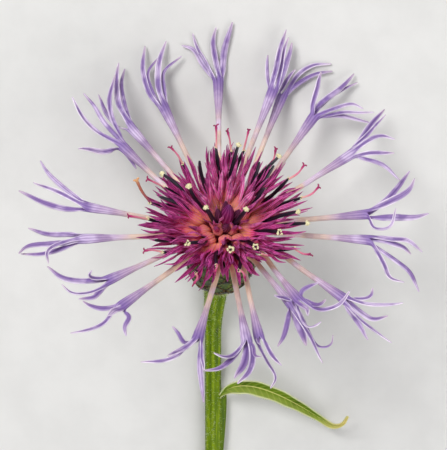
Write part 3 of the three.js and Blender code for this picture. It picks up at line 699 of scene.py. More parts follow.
def striations(shade, count, wobble=0.6):
    """Lines running along a floret, from the direction of each point round its tube."""
    angle = shade.math("ARCTAN2", shade.attribute("round_sin"), shade.attribute("round_cos"))
    drift = shade.times(shade.noise(900, 2.0), wobble * 2)
    return shade.wave(shade.math("MULTIPLY_ADD", angle, float(count), drift))


def ray_material():
    shade = Shade("ray_petal", Subsurface_Weight=0.1, Subsurface_Scale=0.0012, Specular_IOR_Level=0.4,
                  Subsurface_Radius=(1.0, 0.7, 0.8))
    along = shade.times(shade.attribute("along"), 0.5)
    shade.base = shade.ramp(along, (0.0, (222, 176, 138)), (0.2, (236, 204, 168)), (0.32, (226, 198, 180)),
                            (0.42, (184, 158, 188)), (0.52, (138, 110, 174)), (0.68, (126, 98, 162)),
                            (0.88, (132, 104, 162)), (1.0, (206, 184, 200)))
    patch = shade.spread(shade.noise(300, 3.0), 0.42, 0.7)
    shade.tint(shade.times(patch, 0.4), (98, 70, 134))
    # Painted highlight: pale patches, by noise, on the corolla.
    shade.tint(shade.spread(shade.noise(220, 2.0), 0.5, 0.66, 0.0, 0.7), (222, 202, 232))
    veins = striations(shade, 11)
    deep = shade.times(shade.power(veins, 2.0), shade.spread(along, 0.25, 0.56, 0.06, 0.62))
    shade.tint(deep, (86, 58, 124))
    # Painted highlight: pale margins along the lobes' curled edges, broken up by noise.
    margin = shade.power(shade.attribute("edge"), 2.5)
    pale = shade.times(margin, shade.spread(shade.noise(300, 2.0), 0.36, 0.6, 0.35, 0.95))
    shade.tint(pale, (244, 230, 246))
    grain = shade.noise(2600, 2.0)
    shade.bump(shade.math("MULTIPLY_ADD", veins, 0.7, grain), 0.4, 0.12)
    return shade.finish(shade.spread(grain, 0.3, 0.7, 0.34, 0.52))


def disc_material():
    shade = Shade("disc_petal", Subsurface_Weight=0.08, Subsurface_Scale=0.001, Specular_IOR_Level=0.2)
    along = shade.times(shade.attribute("along"), 0.5)
    tone = shade.attribute("tone")
    deep = shade.ramp(along, (0.0, (110, 16, 48)), (0.24, (170, 62, 64)), (0.35, (228, 152, 112)),
                      (0.45, (220, 118, 98)), (0.53, (208, 54, 102)), (0.6, (192, 12, 106)),
                      (0.8, (164, 4, 104)), (1.0, (104, 2, 90)))
    pale = shade.ramp(along, (0.0, (110, 16, 48)), (0.24, (190, 90, 80)), (0.34, (240, 164, 128)),
                      (0.46, (240, 142, 128)), (0.57, (244, 120, 156)), (0.8, (232, 84, 164)),
                      (1.0, (168, 24, 124)))
    shade.base = shade.mix(tone, deep, pale)
    veins = striations(shade, 15, 0.9)
    throat = shade.times(shade.power(veins, 3.0), shade.spread(along, 0.42, 0.52, 0.55, 0.0))
    shade.tint(throat, (196, 60, 78))
    # Painted highlight: pale streaks along the veins of the lobes, paler where the tone is.
    streaks = shade.times(shade.power(veins, 4.0), shade.spread(along, 0.35, 0.7, 0.2, 0.9))
    light = shade.mix(tone, linear((240, 120, 200)), linear((255, 206, 226)))
    shade.base = shade.mix(streaks, shade.base, light)
    # Painted shade: violet-black patches, by noise, on the lobes.
    patch = shade.spread(shade.noise(700, 3.0), 0.44, 0.68)
    shade.tint(shade.times(patch, shade.spread(along, 0.4, 0.7, 0.1, 0.75)), (84, 0, 64))
    shade.tint(shade.times(shade.power(shade.attribute("edge"), 3.0), 0.4), (216, 96, 168))
    shade.bump(veins, 0.5, 0.12)
    return shade.finish(shade.spread(veins, 0.0, 1.0, 0.5, 0.34))


def anther_material():
    shade = Shade("anther_tube", Coat_Weight=0.12, Coat_Roughness=0.3, Specular_IOR_Level=0.3)
    shade.base = shade.ramp(shade.attribute("along"), (0.0, (110, 30, 70)), (0.25, (34, 14, 34)),
                            (0.7, (14, 10, 20)), (1.0, (36, 30, 40)))
    veins = striations(shade, 5, 0.2)
    shade.tint(shade.times(veins, 0.2), (64, 50, 78))
    shade.bump(veins, 0.5, 0.08)
    return shade.finish(shade.spread(shade.noise(1500, 3.0), 0.3, 0.7, 0.3, 0.5))


def grainy_material(name, grain, stops, bump, roughness, **sockets):
    """A material with one noise for its colour and, where `bump` is given, for its relief."""
    shade = Shade(name, **sockets)
    grain = shade.noise(*grain)
    shade.base = shade.ramp(grain, *stops)
    if bump:
        shade.bump(grain, *bump)
    return shade.finish(roughness)


def pollen_material():
    stops = ((0.3, (176, 160, 108)), (0.5, (226, 218, 172)), (0.75, (246, 242, 214)))
    return grainy_material("pollen", (3200, 4.0, 0.7), stops, (0.8, 0.15), 0.85)


def style_material():
    shade = Shade("style", Subsurface_Weight=0.1, Subsurface_Scale=0.0008)
    along = shade.attribute("along")
    fresh = shade.ramp(along, (0.0, (222, 166, 152)), (0.45, (206, 112, 140)), (0.72, (170, 34, 102)),
                       (1.0, (132, 8, 78)))
    faded = shade.ramp(along, (0.0, (126, 36, 74)), (0.5, (150, 84, 66)), (1.0, (198, 148, 98)))
    shade.base = shade.mix(shade.attribute("old"), fresh, faded)
    grain = shade.noise(2400, 3.0)
    shade.tint(shade.times(grain, 0.3), (250, 210, 214), "SOFT_LIGHT")
    shade.bump(grain, 0.4, 0.08)
    return shade.finish(0.5)


def core_material():
    stops = ((0.3, (104, 16, 54)), (0.6, (170, 48, 76)), (0.8, (214, 116, 96)))
    return grainy_material("receptacle", (900, 4.0), stops, (0.7, 0.3), 0.7)


def bud_material():
    shade = Shade("bud", Specular_IOR_Level=0.4)
    along = shade.attribute("along")
    dull = shade.ramp(along, (0.0, (170, 90, 90)), (0.25, (110, 44, 60)), (0.7, (84, 34, 58)),
                      (1.0, (60, 20, 48)))
    bright = shade.ramp(along, (0.0, (200, 90, 100)), (0.2, (150, 24, 84)), (0.7, (112, 10, 80)),
                        (1.0, (84, 10, 80)))
    shade.base = shade.mix(shade.attribute("tone"), dull, bright)
    veins = striations(shade, 10, 0.3)
    shade.tint(shade.times(shade.power(veins, 3.0), 0.55), (178, 84, 140))
    shade.bump(veins, 0.4, 0.12)
    return shade.finish(shade.spread(veins, 0.0, 1.0, 0.5, 0.38))


def bract_material():
    shade = Shade("bract", Sheen_Weight=0.1)
    grain = shade.noise(500, 4.0)
    shade.base = shade.ramp(grain, (0.3, (28, 42, 0)), (0.52, (58, 78, 4)), (0.72, (112, 128, 22)))
    shade.tint(shade.spread(shade.attribute("edge"), 0.55, 0.9), (26, 16, 8))
    veins = shade.times(shade.math("SINE", shade.times(shade.attribute("across"), 16.0)), 0.5)
    shade.bump(shade.plus(grain, veins), 0.5, 0.15)
    return shade.finish(shade.spread(grain, 0.3, 0.7, 0.5, 0.75))


def fringe_material():
    shade = Shade("bract_fringe")
    shade.base = shade.ramp(shade.attribute("along"), (0.0, (40, 24, 10)), (0.45, (110, 74, 26)),
                            (1.0, (226, 190, 104)))
    shade.tint(shade.times(shade.noise(1500, 2.0), 0.4), (20, 12, 8))
    return shade.finish(0.6)


def stem_material():
    shade = Shade("stem_skin", Subsurface_Weight=0.08, Subsurface_Scale=0.001, Specular_IOR_Level=0.2)
    streak = shade.noise(500, 4.0, stretch=(3.0, 0.35, 3.0))
    shade.base = shade.ramp(streak, (0.25, (58, 82, 0)), (0.5, (86, 112, 0)), (0.75, (126, 148, 2)))
    rib = shade.spread(shade.attribute("rib"), 0.35, 0.95)
    shade.tint(shade.times(rib, shade.spread(shade.noise(1300, 3.0), 0.3, 0.6, 0.1, 0.6)), (148, 170, 20))
    cut = shade.attribute("cut")
    pith = shade.ramp(cut, (0.0, (126, 150, 60)), (0.5, (196, 208, 140)), (1.0, (228, 230, 196)))
    shade.base = shade.mix(shade.spread(cut, 0.02, 0.1), shade.base, pith)
    shade.bump(shade.plus(streak, shade.noise(2400, 2.0)), 0.4, 0.12)
    return shade.finish(shade.spread(streak, 0.3, 0.7, 0.5, 0.7))


def hair_material():
    stops = ((0.3, (164, 180, 90)), (0.7, (222, 228, 180)))
    return grainy_material("white_hair", (300, 2.0), stops, None, 0.6, Subsurface_Weight=0.2,
                           Subsurface_Scale=0.0004, Sheen_Weight=0.3)


def leaf_material():
    shade = Shade("leaf_blade", Subsurface_Weight=0.08, Subsurface_Scale=0.001, Specular_IOR_Level=0.35)
    across = shade.attribute("across")
    side = shade.math("ABSOLUTE", across)
    along = shade.attribute("along")
    shade.base = shade.ramp(shade.noise(260, 4.0), (0.3, (72, 98, 2)), (0.5, (100, 128, 12)),
                            (0.72, (134, 158, 34)))
    shade.tint(shade.times(shade.spread(across, 0.05, 0.5), 0.45), (166, 180, 84))      # its lower half
    slant = shade.wave(shade.math("MULTIPLY_ADD", along, 150.0, shade.times(side, -7.0)))
    vein = shade.times(shade.power(slant, 6.0), 0.4)
    shade.tint(vein, (172, 186, 84))
    shade.tint(shade.spread(side, 0.14, 0.03, 0.0, 0.9), (212, 206, 124))               # its midrib
    shade.tint(shade.spread(side, 0.84, 1.0, 0.0, 0.8), (222, 224, 176))                # its margin
    shade.tint(shade.spread(along, 0.72, 0.94), (222, 208, 128))                        # its tip
    grain = shade.noise(2000, 3.0)
    shade.bump(shade.plus(vein, grain), 0.4, 0.15)
    return shade.finish(shade.spread(grain, 0.3, 0.7, 0.45, 0.65))


def floor_material():
    stops = ((0.3, (207, 206, 203)), (0.7, (212, 211, 208)))
    return grainy_material("pale_floor", (120, 4.0), stops, None, 0.75)


# ---- ray florets ----
def petal_lobe(maker, row, angles, flow, normals, width, shape, hollow, margin, **values):
    """A narrow lobe that grows on from a few neighbouring points of a rim, and ends in a tip.

    Its flat side turns from the first normal to the second.
    """
    line, tangents = flow
    across = np.linspace(-1, 1, len(row))
    rim = np.array([maker.points[i] for i in row])
    rim = rim - rim.mean(0)
    for k in range(1, len(line)):
        t = k / (len(line) - 1)
        normal = lerp(*normals, smooth(t, 0, LOBE_TURN))
        normal = unit(normal - tangents[k] * normal.dot(tangents[k]))
        side = np.cross(normal, tangents[k])
        half = width / 2 * between(shape, t)
        points = []
        for u, carried in zip(across, rim):
            free = side * half * u + normal * hollow * half * (u * u - 0.4)
            points.append(line[k] + lerp(carried, free, smooth(t, 0, LOBE_BLEND)))
        edge = np.abs(across) * smooth(t, 0, margin)
        new = maker.add(points, along=1 + t, edge=edge, **values, **around(angles))
        maker.bridge(row, new, closed=False)
        row = new


def ray_tube_path(root, end):
    knee = polar(RAY_KNEE[0], root, RAY_KNEE[1])
    return [
        polar(RAY_ROOT_RADIUS, root, RAY_ROOT_DEPTH),
        polar(RAY_ROOT_RADIUS + 0.15, root, RAY_ROOT_DEPTH + 2),
        polar(RAY_ROOT_RADIUS + 1.1, root, -1.5),
        knee,
        lerp(knee, end, 0.5),
        end,
    ]


def lobe_order(tips):
    """The lobes as they stand round the tube's mouth, and the angle there where the first one begins."""
    mean_left = sum(left for left, _ in tips) / len(tips)
    mean_rise = sum(rise for _, rise in tips) / len(tips)
    turns = sorted((math.atan2(rise - mean_rise, mean_left - left), i)
                   for i, (left, rise) in enumerate(tips))
    step = 2 * math.pi / len(tips)
    offsets = [angle - (n + 0.5) * step for n, (angle, _) in enumerate(turns)]
    offset = math.atan2(sum(map(math.sin, offsets)), sum(map(math.cos, offsets)))
    return [i for _, i in turns], offset


def lobe_path(begin, end, out, heading, lobe):
    """The middle of one lobe, from its place on the rim of the tube, whose own middle is `end`."""
    *points, rise, _ = lobe
    places = [seen(at, end[2] + rise * part) for at, part in zip(points, (0.35, 0.7, 1))]
    lead = [begin + heading * 0.35] if (places[0] - end).dot(out) > 1.5 else []
    places[0] = places[0] + (begin - end) * 0.15
    return [begin, *lead, *places]


def ray_floret(index, material):
    root, at, height, lobes = RAYS[index]
    end = seen(at, height)
    line, tangents = spline(ray_tube_path(root, end), TUBE_ROWS)
    right, top = frames(line, tangents)
    out = unit(np.array([end[0], end[1], 0]))
    left = np.cross(UP, out)
    tips = [((seen(tip, height + rise) - end).dot(left), rise) for _, _, tip, rise, _ in lobes]
    order, offset = lobe_order(tips)
    angles = circle(len(lobes) * LOBE_COLUMNS, offset)
    maker = Maker(clockwise=True)
    rows, values = [], []
    for k in range(TUBE_ROWS):
        t = k / (TUBE_ROWS - 1)
        thin = lerp(TUBE_ROOT, TUBE_RADIUS, smooth(t, 0.1, 0.3))
        opening = smooth(t, TUBE_OPENS, 1.02) ** 1.2
        wide, thick = [lerp(thin, flare, opening) for flare in FLARE]
        rows.append(ring(line[k], right[k] * wide, top[k] * thick, angles))
        values.append({"along": t, **around(angles)})
    rim = maker.sheet(rows, values, closed=True)[-1]

    for place, which in enumerate(order):
        seed = index * 7 + which
        row, begin, row_angles = maker.rim(rim, angles, place, LOBE_COLUMNS)
        path = lobe_path(begin, end, out, tangents[-1], lobes[which])
        flow, heading = spline(path, LOBE_ROWS, start=begin - tangents[-1])
        middle = row_angles[0] + math.pi / len(lobes)
        first = unit(right[-1] * math.cos(middle) * FLARE[1] + top[-1] * math.sin(middle) * FLARE[0])
        last = turned(UP, out, math.radians(LOBE_ROLL * draw(seed)))
        last = last if first.dot(last) >= 0 else -last
        for k in range(1, LOBE_ROWS):
            t = k / (LOBE_ROWS - 1)
            sideways = LOBE_SWAY[0] * math.sin(t * LOBE_SWAY[1] + 3 * draw(seed + 31))
            upwards = LOBE_WAVE[0] * math.sin(t * LOBE_WAVE[1] + 3 * draw(seed + 47))
            moved = flow[k] + (np.cross(heading[k], UP) * sideways + UP * upwards) * t
            flow[k] = over_ground(moved, LOBE_GROUND)
        petal_lobe(maker, row, row_angles, (flow, heading), (first, last), lobes[which][4], LOBE_WIDTH,
                   LOBE_HOLLOW, LOBE_MARGIN)
    maker.points = [over_ground(np.asarray(p), PETAL_GROUND) for p in maker.points]
    name = f"ray_floret_{index + 1:02d}"
    maker.build(name + "_corolla", material, "ray_floret", name, skin=RAY_SKIN, finer=1)


# ---- disc florets ----
class DiscFloret:
    """One disc floret, along the line from the point they all radiate from to its own tip."""

    def __init__(self, seed, stage, right, up, reach):
        self.seed, self.reach, self.stage = seed, reach, stage
        self.tip = seen_at_distance((right, up), DISC_MEET, reach)
        self.axis = unit(self.tip - DISC_MEET)
        self.side = unit(np.cross(UP, self.axis))
        self.mouth = min(reach * STAGES[stage][0], FARTHEST_MOUTH)
        # Paler at random and for a "wide" floret; the last term is painted light, paler where a floret
        # points up into the light.
        self.tone = clamp(0.16 + 0.2 * draw(seed + 9) + (0.7 if stage == "wide" else 0)
                          + 0.3 * smooth(self.axis[2], 0.72, 0.92))
        self.anther = spline(self.anther_path(), ANTHER_ROWS)

    def at(self, distance, lean=0.0):
        """A point at a distance from where the florets meet, leaning outwards off the floret's line."""
        return DISC_MEET + turned(self.axis, self.side, math.radians(lean)) * distance

    def anther_path(self):
        """The bowed path of the anther tube, from inside the throat to its tip."""
        start = self.mouth - 1.2
        end = self.reach * (ANTHER_END if self.stage in GROWN else 1)
        drift = self.side * {"style": 0.9 * draw(self.seed + 90), "old": 2.4}.get(self.stage, 0)
        bend = 6 * draw(self.seed + 50)
        bow = self.side * 0.9 * draw(self.seed + 70)
        if self.stage == "young":
            bend, bow = 0, self.side * -math.copysign(0.45, self.axis[0])
        return [self.at(start), self.at(lerp(start, end, 0.4), bend) + bow,
                self.at(lerp(start, end, 0.75), bend * 0.6) + bow * 0.6 + drift * 0.7, self.at(end) + drift]


def disc_corolla(maker, floret):
    mouth, axis = floret.mouth, floret.axis
    _, tips, flare, width = STAGES[floret.stage]
    shut = floret.stage == "bulb"
    path = [floret.at(2.6, -5), floret.at(mouth * 0.56, -2), floret.at(mouth * 0.78, -1), floret.at(mouth)]
    line, tangents = spline(path, DISC_TUBE_ROWS)
    right, top = frames(line, tangents)
    start = draw(floret.seed) * math.pi
    angles = circle(DISC_LOBES * DISC_LOBE_COLUMNS, start)
    rows, values = [], []
    for k in range(DISC_TUBE_ROWS):
        t = k / (DISC_TUBE_ROWS - 1)
        size = between(SHUT_THROAT if shut else THROAT, t)
        rows.append(ring(line[k], right[k], top[k], angles,
                         lambda a: size * (1 + 0.12 * t * math.cos(DISC_LOBES * (a - start)))))
        values.append({"along": t, "tone": floret.tone, **around(angles)})
    rim = maker.sheet(rows, values, closed=True)[-1]

    for place in range(DISC_LOBES):
        row, begin, row_angles = maker.rim(rim, angles, place, DISC_LOBE_COLUMNS)
        outward = unit(begin - line[-1])
        aside = np.cross(axis, outward)
        mark = floret.seed * 5 + place
        length = floret.reach * tips * (1 + 0.06 * draw(mark)) - mouth
        spread = flare * (1 + 0.5 * draw(mark + 0.4))
        twist = 0.12 * length * draw(mark + 0.7)
        stops = ((0.3, 0.3 * spread, 0), (0.68, 0.85 * spread, 0.5 * twist),
                 (1, (0.9 + 0.4 * draw(mark + 0.2)) * spread, twist))
        last = turned(outward, axis, 1.2 * draw(mark + 0.9))
        if shut:
            stops = ((0.5, -0.1, 0), (1, -0.4, 0))
            last = outward
        path = [begin + axis * length * part + outward * out + aside * off for part, out, off in stops]
        flow = spline([begin, *path], DISC_LOBE_ROWS, start=begin - axis)
        petal_lobe(maker, row, row_angles, flow, (outward, last), width, DISC_LOBE_WIDTH, DISC_LOBE_HOLLOW,
                   DISC_LOBE_MARGIN, tone=floret.tone)


def disc_anthers(maker, floret):
    radius = YOUNG_ANTHER_RADIUS if floret.stage == "young" else ANTHER_RADIUS

    def size(t, angle):
        ridges = 1 + 0.1 * math.cos(DISC_LOBES * angle)
        return radius * (1 - 0.3 * smooth(t, 0.75, 1.0)) * (0.8 + 0.2 * smooth(t, 0, 0.3)) * ridges

    round_tube(maker, floret.anther, ANTHER_SIDES, size, lambda t, angles: {"along": t, **around(angles)})


def icosphere():
    """The points and the faces of a ball of 80 triangles."""
    far = (1 + 5 ** 0.5) / 2
    points = [unit(np.roll((x, y, 0.0), turn)) for turn in range(3) for y in (far, -far) for x in (-1, 1)]
    coarse = [(0, 11, 5), (0, 5, 1), (0, 1, 7), (0, 7, 10), (0, 10, 11), (1, 5, 9), (5, 11, 4),
              (11, 10, 2), (10, 7, 6), (7, 1, 8), (3, 9, 4), (3, 4, 2), (3, 2, 6), (3, 6, 8), (3, 8, 9),
              (4, 9, 5), (2, 4, 11), (6, 2, 10), (8, 6, 7), (9, 8, 1)]
    middles, faces = {}, []
    for a, b, c in coarse:
        for pair in ((a, b), (b, c), (c, a)):
            if frozenset(pair) not in middles:
                middles[frozenset(pair)] = len(points)
                points.append(unit(points[pair[0]] + points[pair[1]]))
        ab, bc, ca = [middles[frozenset(pair)] for pair in ((a, b), (b, c), (c, a))]
        faces += [(a, ab, ca), (b, bc, ab), (c, ca, bc), (ab, bc, ca)]
    return points, faces


BALL_POINTS, BALL_FACES = icosphere()


def blob(maker, centre, size, seed):
    """A crumbly lump: an icosphere pushed in and out."""
    made = maker.add([centre + p * size * (1 + 0.28 * draw(seed * 3.7 + i * 1.3))
                      for i, p in enumerate(BALL_POINTS)])
    maker.faces.extend(tuple(made[i] for i in face) for face in BALL_FACES)


def disc_pollen(maker, floret):
    """A lump of pollen with crumbs round it, or a ring of it; a grown style leaves a small ring behind."""
    line, tangents = floret.anther
    tip, axis, seed = line[-1], tangents[-1], floret.seed
    side = unit(np.cross(axis, UP + np.array([0.1, 0.2, 0])))
    other = np.cross(axis, side)
    if floret.stage in ("knob", "young"):
        blob(maker, tip + axis * 0.1, LUMP_RADIUS, seed)
    count, radius, size = CRUMBS[floret.stage]
    for i, angle in enumerate(circle(count)):
        angle += 0.2 * draw(seed + i)
        off = (side * math.cos(angle) + other * math.sin(angle)) * radius * (1 + 0.16 * draw(seed + i * 2))
        where = tip + axis * 0.18 * draw(seed + i * 0.3) + off
        blob(maker, where, size * (1 + 0.4 * draw(seed * 3 + i)), seed * 9 + i)


def disc_style(maker, floret):
    """A style that has grown out of its anthers, and its forked tip."""
    line, tangents = floret.anther
    old = float(floret.stage == "old")
    seed, end = floret.seed, floret.tip

    def grow(flow, sides, radius, low, high):
        round_tube(maker, flow, sides, lambda t, _: radius(t), ends=(0.4 * radius(0), 0.5 * radius(1)),
                   values=lambda t, _: {"along": lerp(low, high, t), "old": old})

    def thickness(t):
        knobs = 1 + 0.22 * math.sin(t * 21 + seed) * math.sin(t * 13 + 2 * seed)
        return STYLE_RADIUS * (knobs - 0.1 * t + 0.5 * smooth(t, 0.82, 1) + 0.4 * old)

    bow = unit(np.cross(floret.axis, floret.side)) * 0.5 * draw(seed + 3)
    bow = bow + floret.side * 0.4 * draw(seed + 4)
    flow = spline([line[-1] - tangents[-1] * 0.4, lerp(line[-1], end, 0.55) + bow, end],
                  STYLE_ROWS)
    grow(flow, STYLE_SIDES, thickness, 0, 0.7)
    heading = flow[1][-1]
    side = unit(np.cross(heading, turned(UP, heading, draw(seed) * 2)))
    for way in (-1, 1):
        reach = 0.5 + 0.12 * draw(seed + way)
        path = [end + heading * reach * part + side * way * off for part, off in FORK]
        grow(spline([end - heading * 0.1, *path], FORK_ROWS), FORK_SIDES,
             lambda t: STYLE_RADIUS * (1 - 0.3 * t + 0.4 * old), 0.8, 1)


def disc_florets():
    inner, outer = Maker(clockwise=True), Maker(clockwise=True)
    anthers, pollen, styles = Maker(), Maker(), Maker()
    spots = [(stage, *spot) for stage, *group in DISC for spot in group]
    for seed, spot in enumerate(spots, 1):
        floret = DiscFloret(seed, *spot)
        disc_corolla(inner if floret.stage in INNER else outer, floret)
        if floret.stage not in NO_ANTHERS:
            disc_anthers(anthers, floret)
        if floret.stage in CRUMBS:
            disc_pollen(pollen, floret)
        if floret.stage in GROWN:
            disc_style(styles, floret)
    corolla = disc_material()
    inner.build("disc_corollas_inner", corolla, "disc_floret", "disc_florets", skin=DISC_SKIN, finer=1)
    outer.build("disc_corollas_outer", corolla, "disc_floret", "disc_florets", skin=DISC_SKIN, finer=1)
    anthers.build("disc_anthers", anther_material(), "disc_floret", finer=1)
    pollen.build("disc_pollen", pollen_material(), "disc_floret")
    styles.build("disc_styles", style_material(), "disc_floret", finer=1)
    profile = [(height, CORE_RADIUS * part) for height, part in CORE_SHAPE]
    core = revolve(profile, CORE_SIDES, RAY_ROOT_DEPTH, CORE_TOP, rough=0.05)
    core.build("disc_core", core_material(), "disc_floret", finer=1)


def centre_buds():
    maker = Maker()
    base = CORE_TOP + 0.2
    for i in range(BUDS):
        side = min(i, 1)
        azimuth = i * 360 / (BUDS - 1) + 12 * draw(i + 3)
        tip = BUD_TIP - BUD_DROP * side * (0.8 + 0.2 * draw(i + 9)) - (BUD_DROP if i == LOW_BUD else 0)
        path = [polar(0.9 * side, azimuth, base - 0.4), polar(1.5 * side, azimuth, lerp(base, tip, 0.5)),
                polar(2 * side, azimuth, tip)]
        radius = lerp(BUD_RADIUS, SIDE_BUD_RADIUS, side)

        def size(t, angle):
            folds = 0.93 + 0.1 * abs(math.sin(2.5 * (angle + 0.9 * t + i)))
            return radius * between(BUD_SHAPE, t) * folds

        def values(t, angles):
            return {"along": t, "tone": 1 - side, **around([a + 0.9 * t + i for a in angles])}

        round_tube(maker, spline(path, BUD_ROWS), BUD_SIDES, size, values, up=EAST)
    maker.build("centre_bud_corollas", bud_material(), "floret_bud", "centre_buds", finer=1)


# ---- involucre ----
def cup_radius(height):
    if height < CUP_WIDEST:
        t = clamp((height - CUP_BOTTOM) / (CUP_WIDEST - CUP_BOTTOM))
        return lerp(CUP_FOOT_RADIUS, CUP_RADIUS, math.sin(t * math.pi / 2) ** 0.8)
    t = clamp((height - CUP_WIDEST) / (CUP_MOUTH - CUP_WIDEST))
    return lerp(CUP_RADIUS, MOUTH_RADIUS, t * t)


def bract(scales, fringe, azimuth, foot, length, half, seed):
    """One scale of the cup, and the bristles along its margin."""
    left, out = polar(1, azimuth + 90), polar(1, azimuth)
    steps = np.linspace(0, 1, BRACT_STEPS)
    rows, values = [], []
    for t in steps:
        height = foot + length * t
        stand = cup_radius(min(height, CUP_MOUTH)) - 0.3 + 0.35 * t
        across = half * between(BRACT_SHAPE, t)
        row = []
        for u in BRACT_ACROSS:
            drop = (across * u) ** 2 / (2 * stand) * 0.9
            row.append(polar(stand - drop + 0.12 * (1 - abs(u)), azimuth, height) + left * across * u)
        rows.append(row)
        dark = smooth(t, 0.62, 0.95)
        values.append({"across": BRACT_ACROSS,
                       "edge": [max(u * u * smooth(t, 0.2, 0.55), dark) for u in BRACT_ACROSS]})
    scales.sheet(rows, values)
    for n in range(FRINGE_FROM, BRACT_STEPS):
        t = steps[n]
        for way, point in ((-1, rows[n][0]), (1, rows[n][-1])):
            size = FRINGE_LENGTH * (1 - 0.3 * abs(t - 0.7)) * (1 + 0.2 * draw(seed + n * way))
            heading = unit(left * way * lerp(1.0, 0.35, t) + UP * lerp(0.5, 1.0, t) + out * 0.22)
            flat = unit(np.cross(heading, out))
            base = [point - heading * 0.12 + corner for corner in (flat * 0.11, flat * -0.11, out * 0.09)]
            half_way = heading * size * 0.55
            centre = np.mean(base, 0) + half_way
            fringe.spike(base, [lerp(p + half_way, centre, 0.35) for p in base], centre + half_way)


def involucre():
    scale = bract_material()
    profile = [(h, cup_radius(h) - 0.35) for h in np.linspace(CUP_BOTTOM, CUP_MOUTH, CUP_ROWS)]
    profile += [(CUP_MOUTH + 0.1, MOUTH_RADIUS - 0.65), (CUP_MOUTH - 0.5, MOUTH_RADIUS - 0.85),
                (CUP_FLOOR + 0.3, MOUTH_RADIUS - 0.9), (CUP_FLOOR, MOUTH_RADIUS - 1.4)]
    cup = revolve(profile, CUP_SIDES, CUP_BOTTOM, CUP_FLOOR)
    cup.build("involucre_cup", scale, "bract", "involucre")
    scales, fringe = Maker(), Maker()
    for row in range(BRACT_ROWS):
        share = row / (BRACT_ROWS - 1)
        foot = lerp(*BRACT_FEET, share)
        length = lerp(*BRACT_LENGTHS, share)
        half = BRACT_OVERLAP * cup_radius(foot + length * 0.4) * math.sin(math.pi / BRACTS_A_ROW)
        for i in range(BRACTS_A_ROW):
            azimuth = (i + row / 2) * 360 / BRACTS_A_ROW + 2 * draw(row * 20 + i)
            grown = length * (1 + 0.06 * draw(row * 31 + i))
            bract(scales, fringe, azimuth, foot, grown, half, row * 50 + i * 9)
    scales.build("involucre_bracts", scale, "bract", skin=BRACT_SKIN, finer=1)
    fringe.build("involucre_fringe", fringe_material(), "bract")


# ---- stem ----
def stem_path():
    """The centre, tangent and radius of each ring, from the cut end up to the involucre."""
    north = np.array([0.0, 1.0, 0.0])
    neck = np.array([STEM_X, NECK_Y, STEM_RADIUS])
    foot = from_head([0, 0, CUP_BOTTOM - 0.3])
    path = [(np.array([STEM_X, y, STEM_RADIUS]), north, STEM_RADIUS)
            for y in np.linspace(STEM_END_Y, NECK_Y, STEM_ROWS, endpoint=False)]
    for t in np.linspace(0, 1, NECK_ROWS):
        row = [neck, neck + north * NECK_PULL, foot - HEAD_AXIS * HEAD_PULL, foot]
        while len(row) > 2:
            row = [lerp(a, b, t) for a, b in zip(row, row[1:])]
        radius = lerp(STEM_RADIUS, STEM_TOP_RADIUS, smooth(t, 0.05, 0.8))
        path.append((lerp(*row, t), unit(row[1] - row[0]), radius))
    return path


def rib_height(angle):
    return 0.5 + 0.5 * math.cos(RIBS * (angle - 1.5 * math.pi / RIBS))


def stem_point(centre, tangent, radius, angle):
    """A point of the ribbed stem, or of the wing along its right side."""
    right = unit(np.cross(tangent, UP))
    outer = radius * (0.9 + 0.09 * rib_height(angle) ** 0.7)
    below = LEAF_NODE_Y - centre[1]
    wing = STEM_WING * (1 - smooth(below, 1, WING_LENGTH)) if below > 0 else 0
    off = (angle + math.pi) % (2 * math.pi) - math.pi
    x = math.cos(angle) * outer + wing * math.exp(-(off / 0.2) ** 2)
    return above(centre + right * x + np.cross(right, tangent) * math.sin(angle) * outer, STEM_GROUND)


def hair(maker, root, heading, length, width, bend):
    """A thin tapered hair with three sides and one bend, kept above the ground."""
    side = unit(np.cross(heading, UP + np.array([0.13, 0.07, 0.0])))
    other = np.cross(heading, side)
    corners = [side, -0.5 * side + 0.87 * other, -0.5 * side - 0.87 * other]
    base = [above(root - heading * 0.05 + c * width, HAIR_GROUND) for c in corners]
    waist = [above(root + heading * length * 0.5 + c * width * 0.7, HAIR_GROUND) for c in corners]
    maker.spike(base, waist, above(root + heading * length + bend * length, HAIR_GROUND))


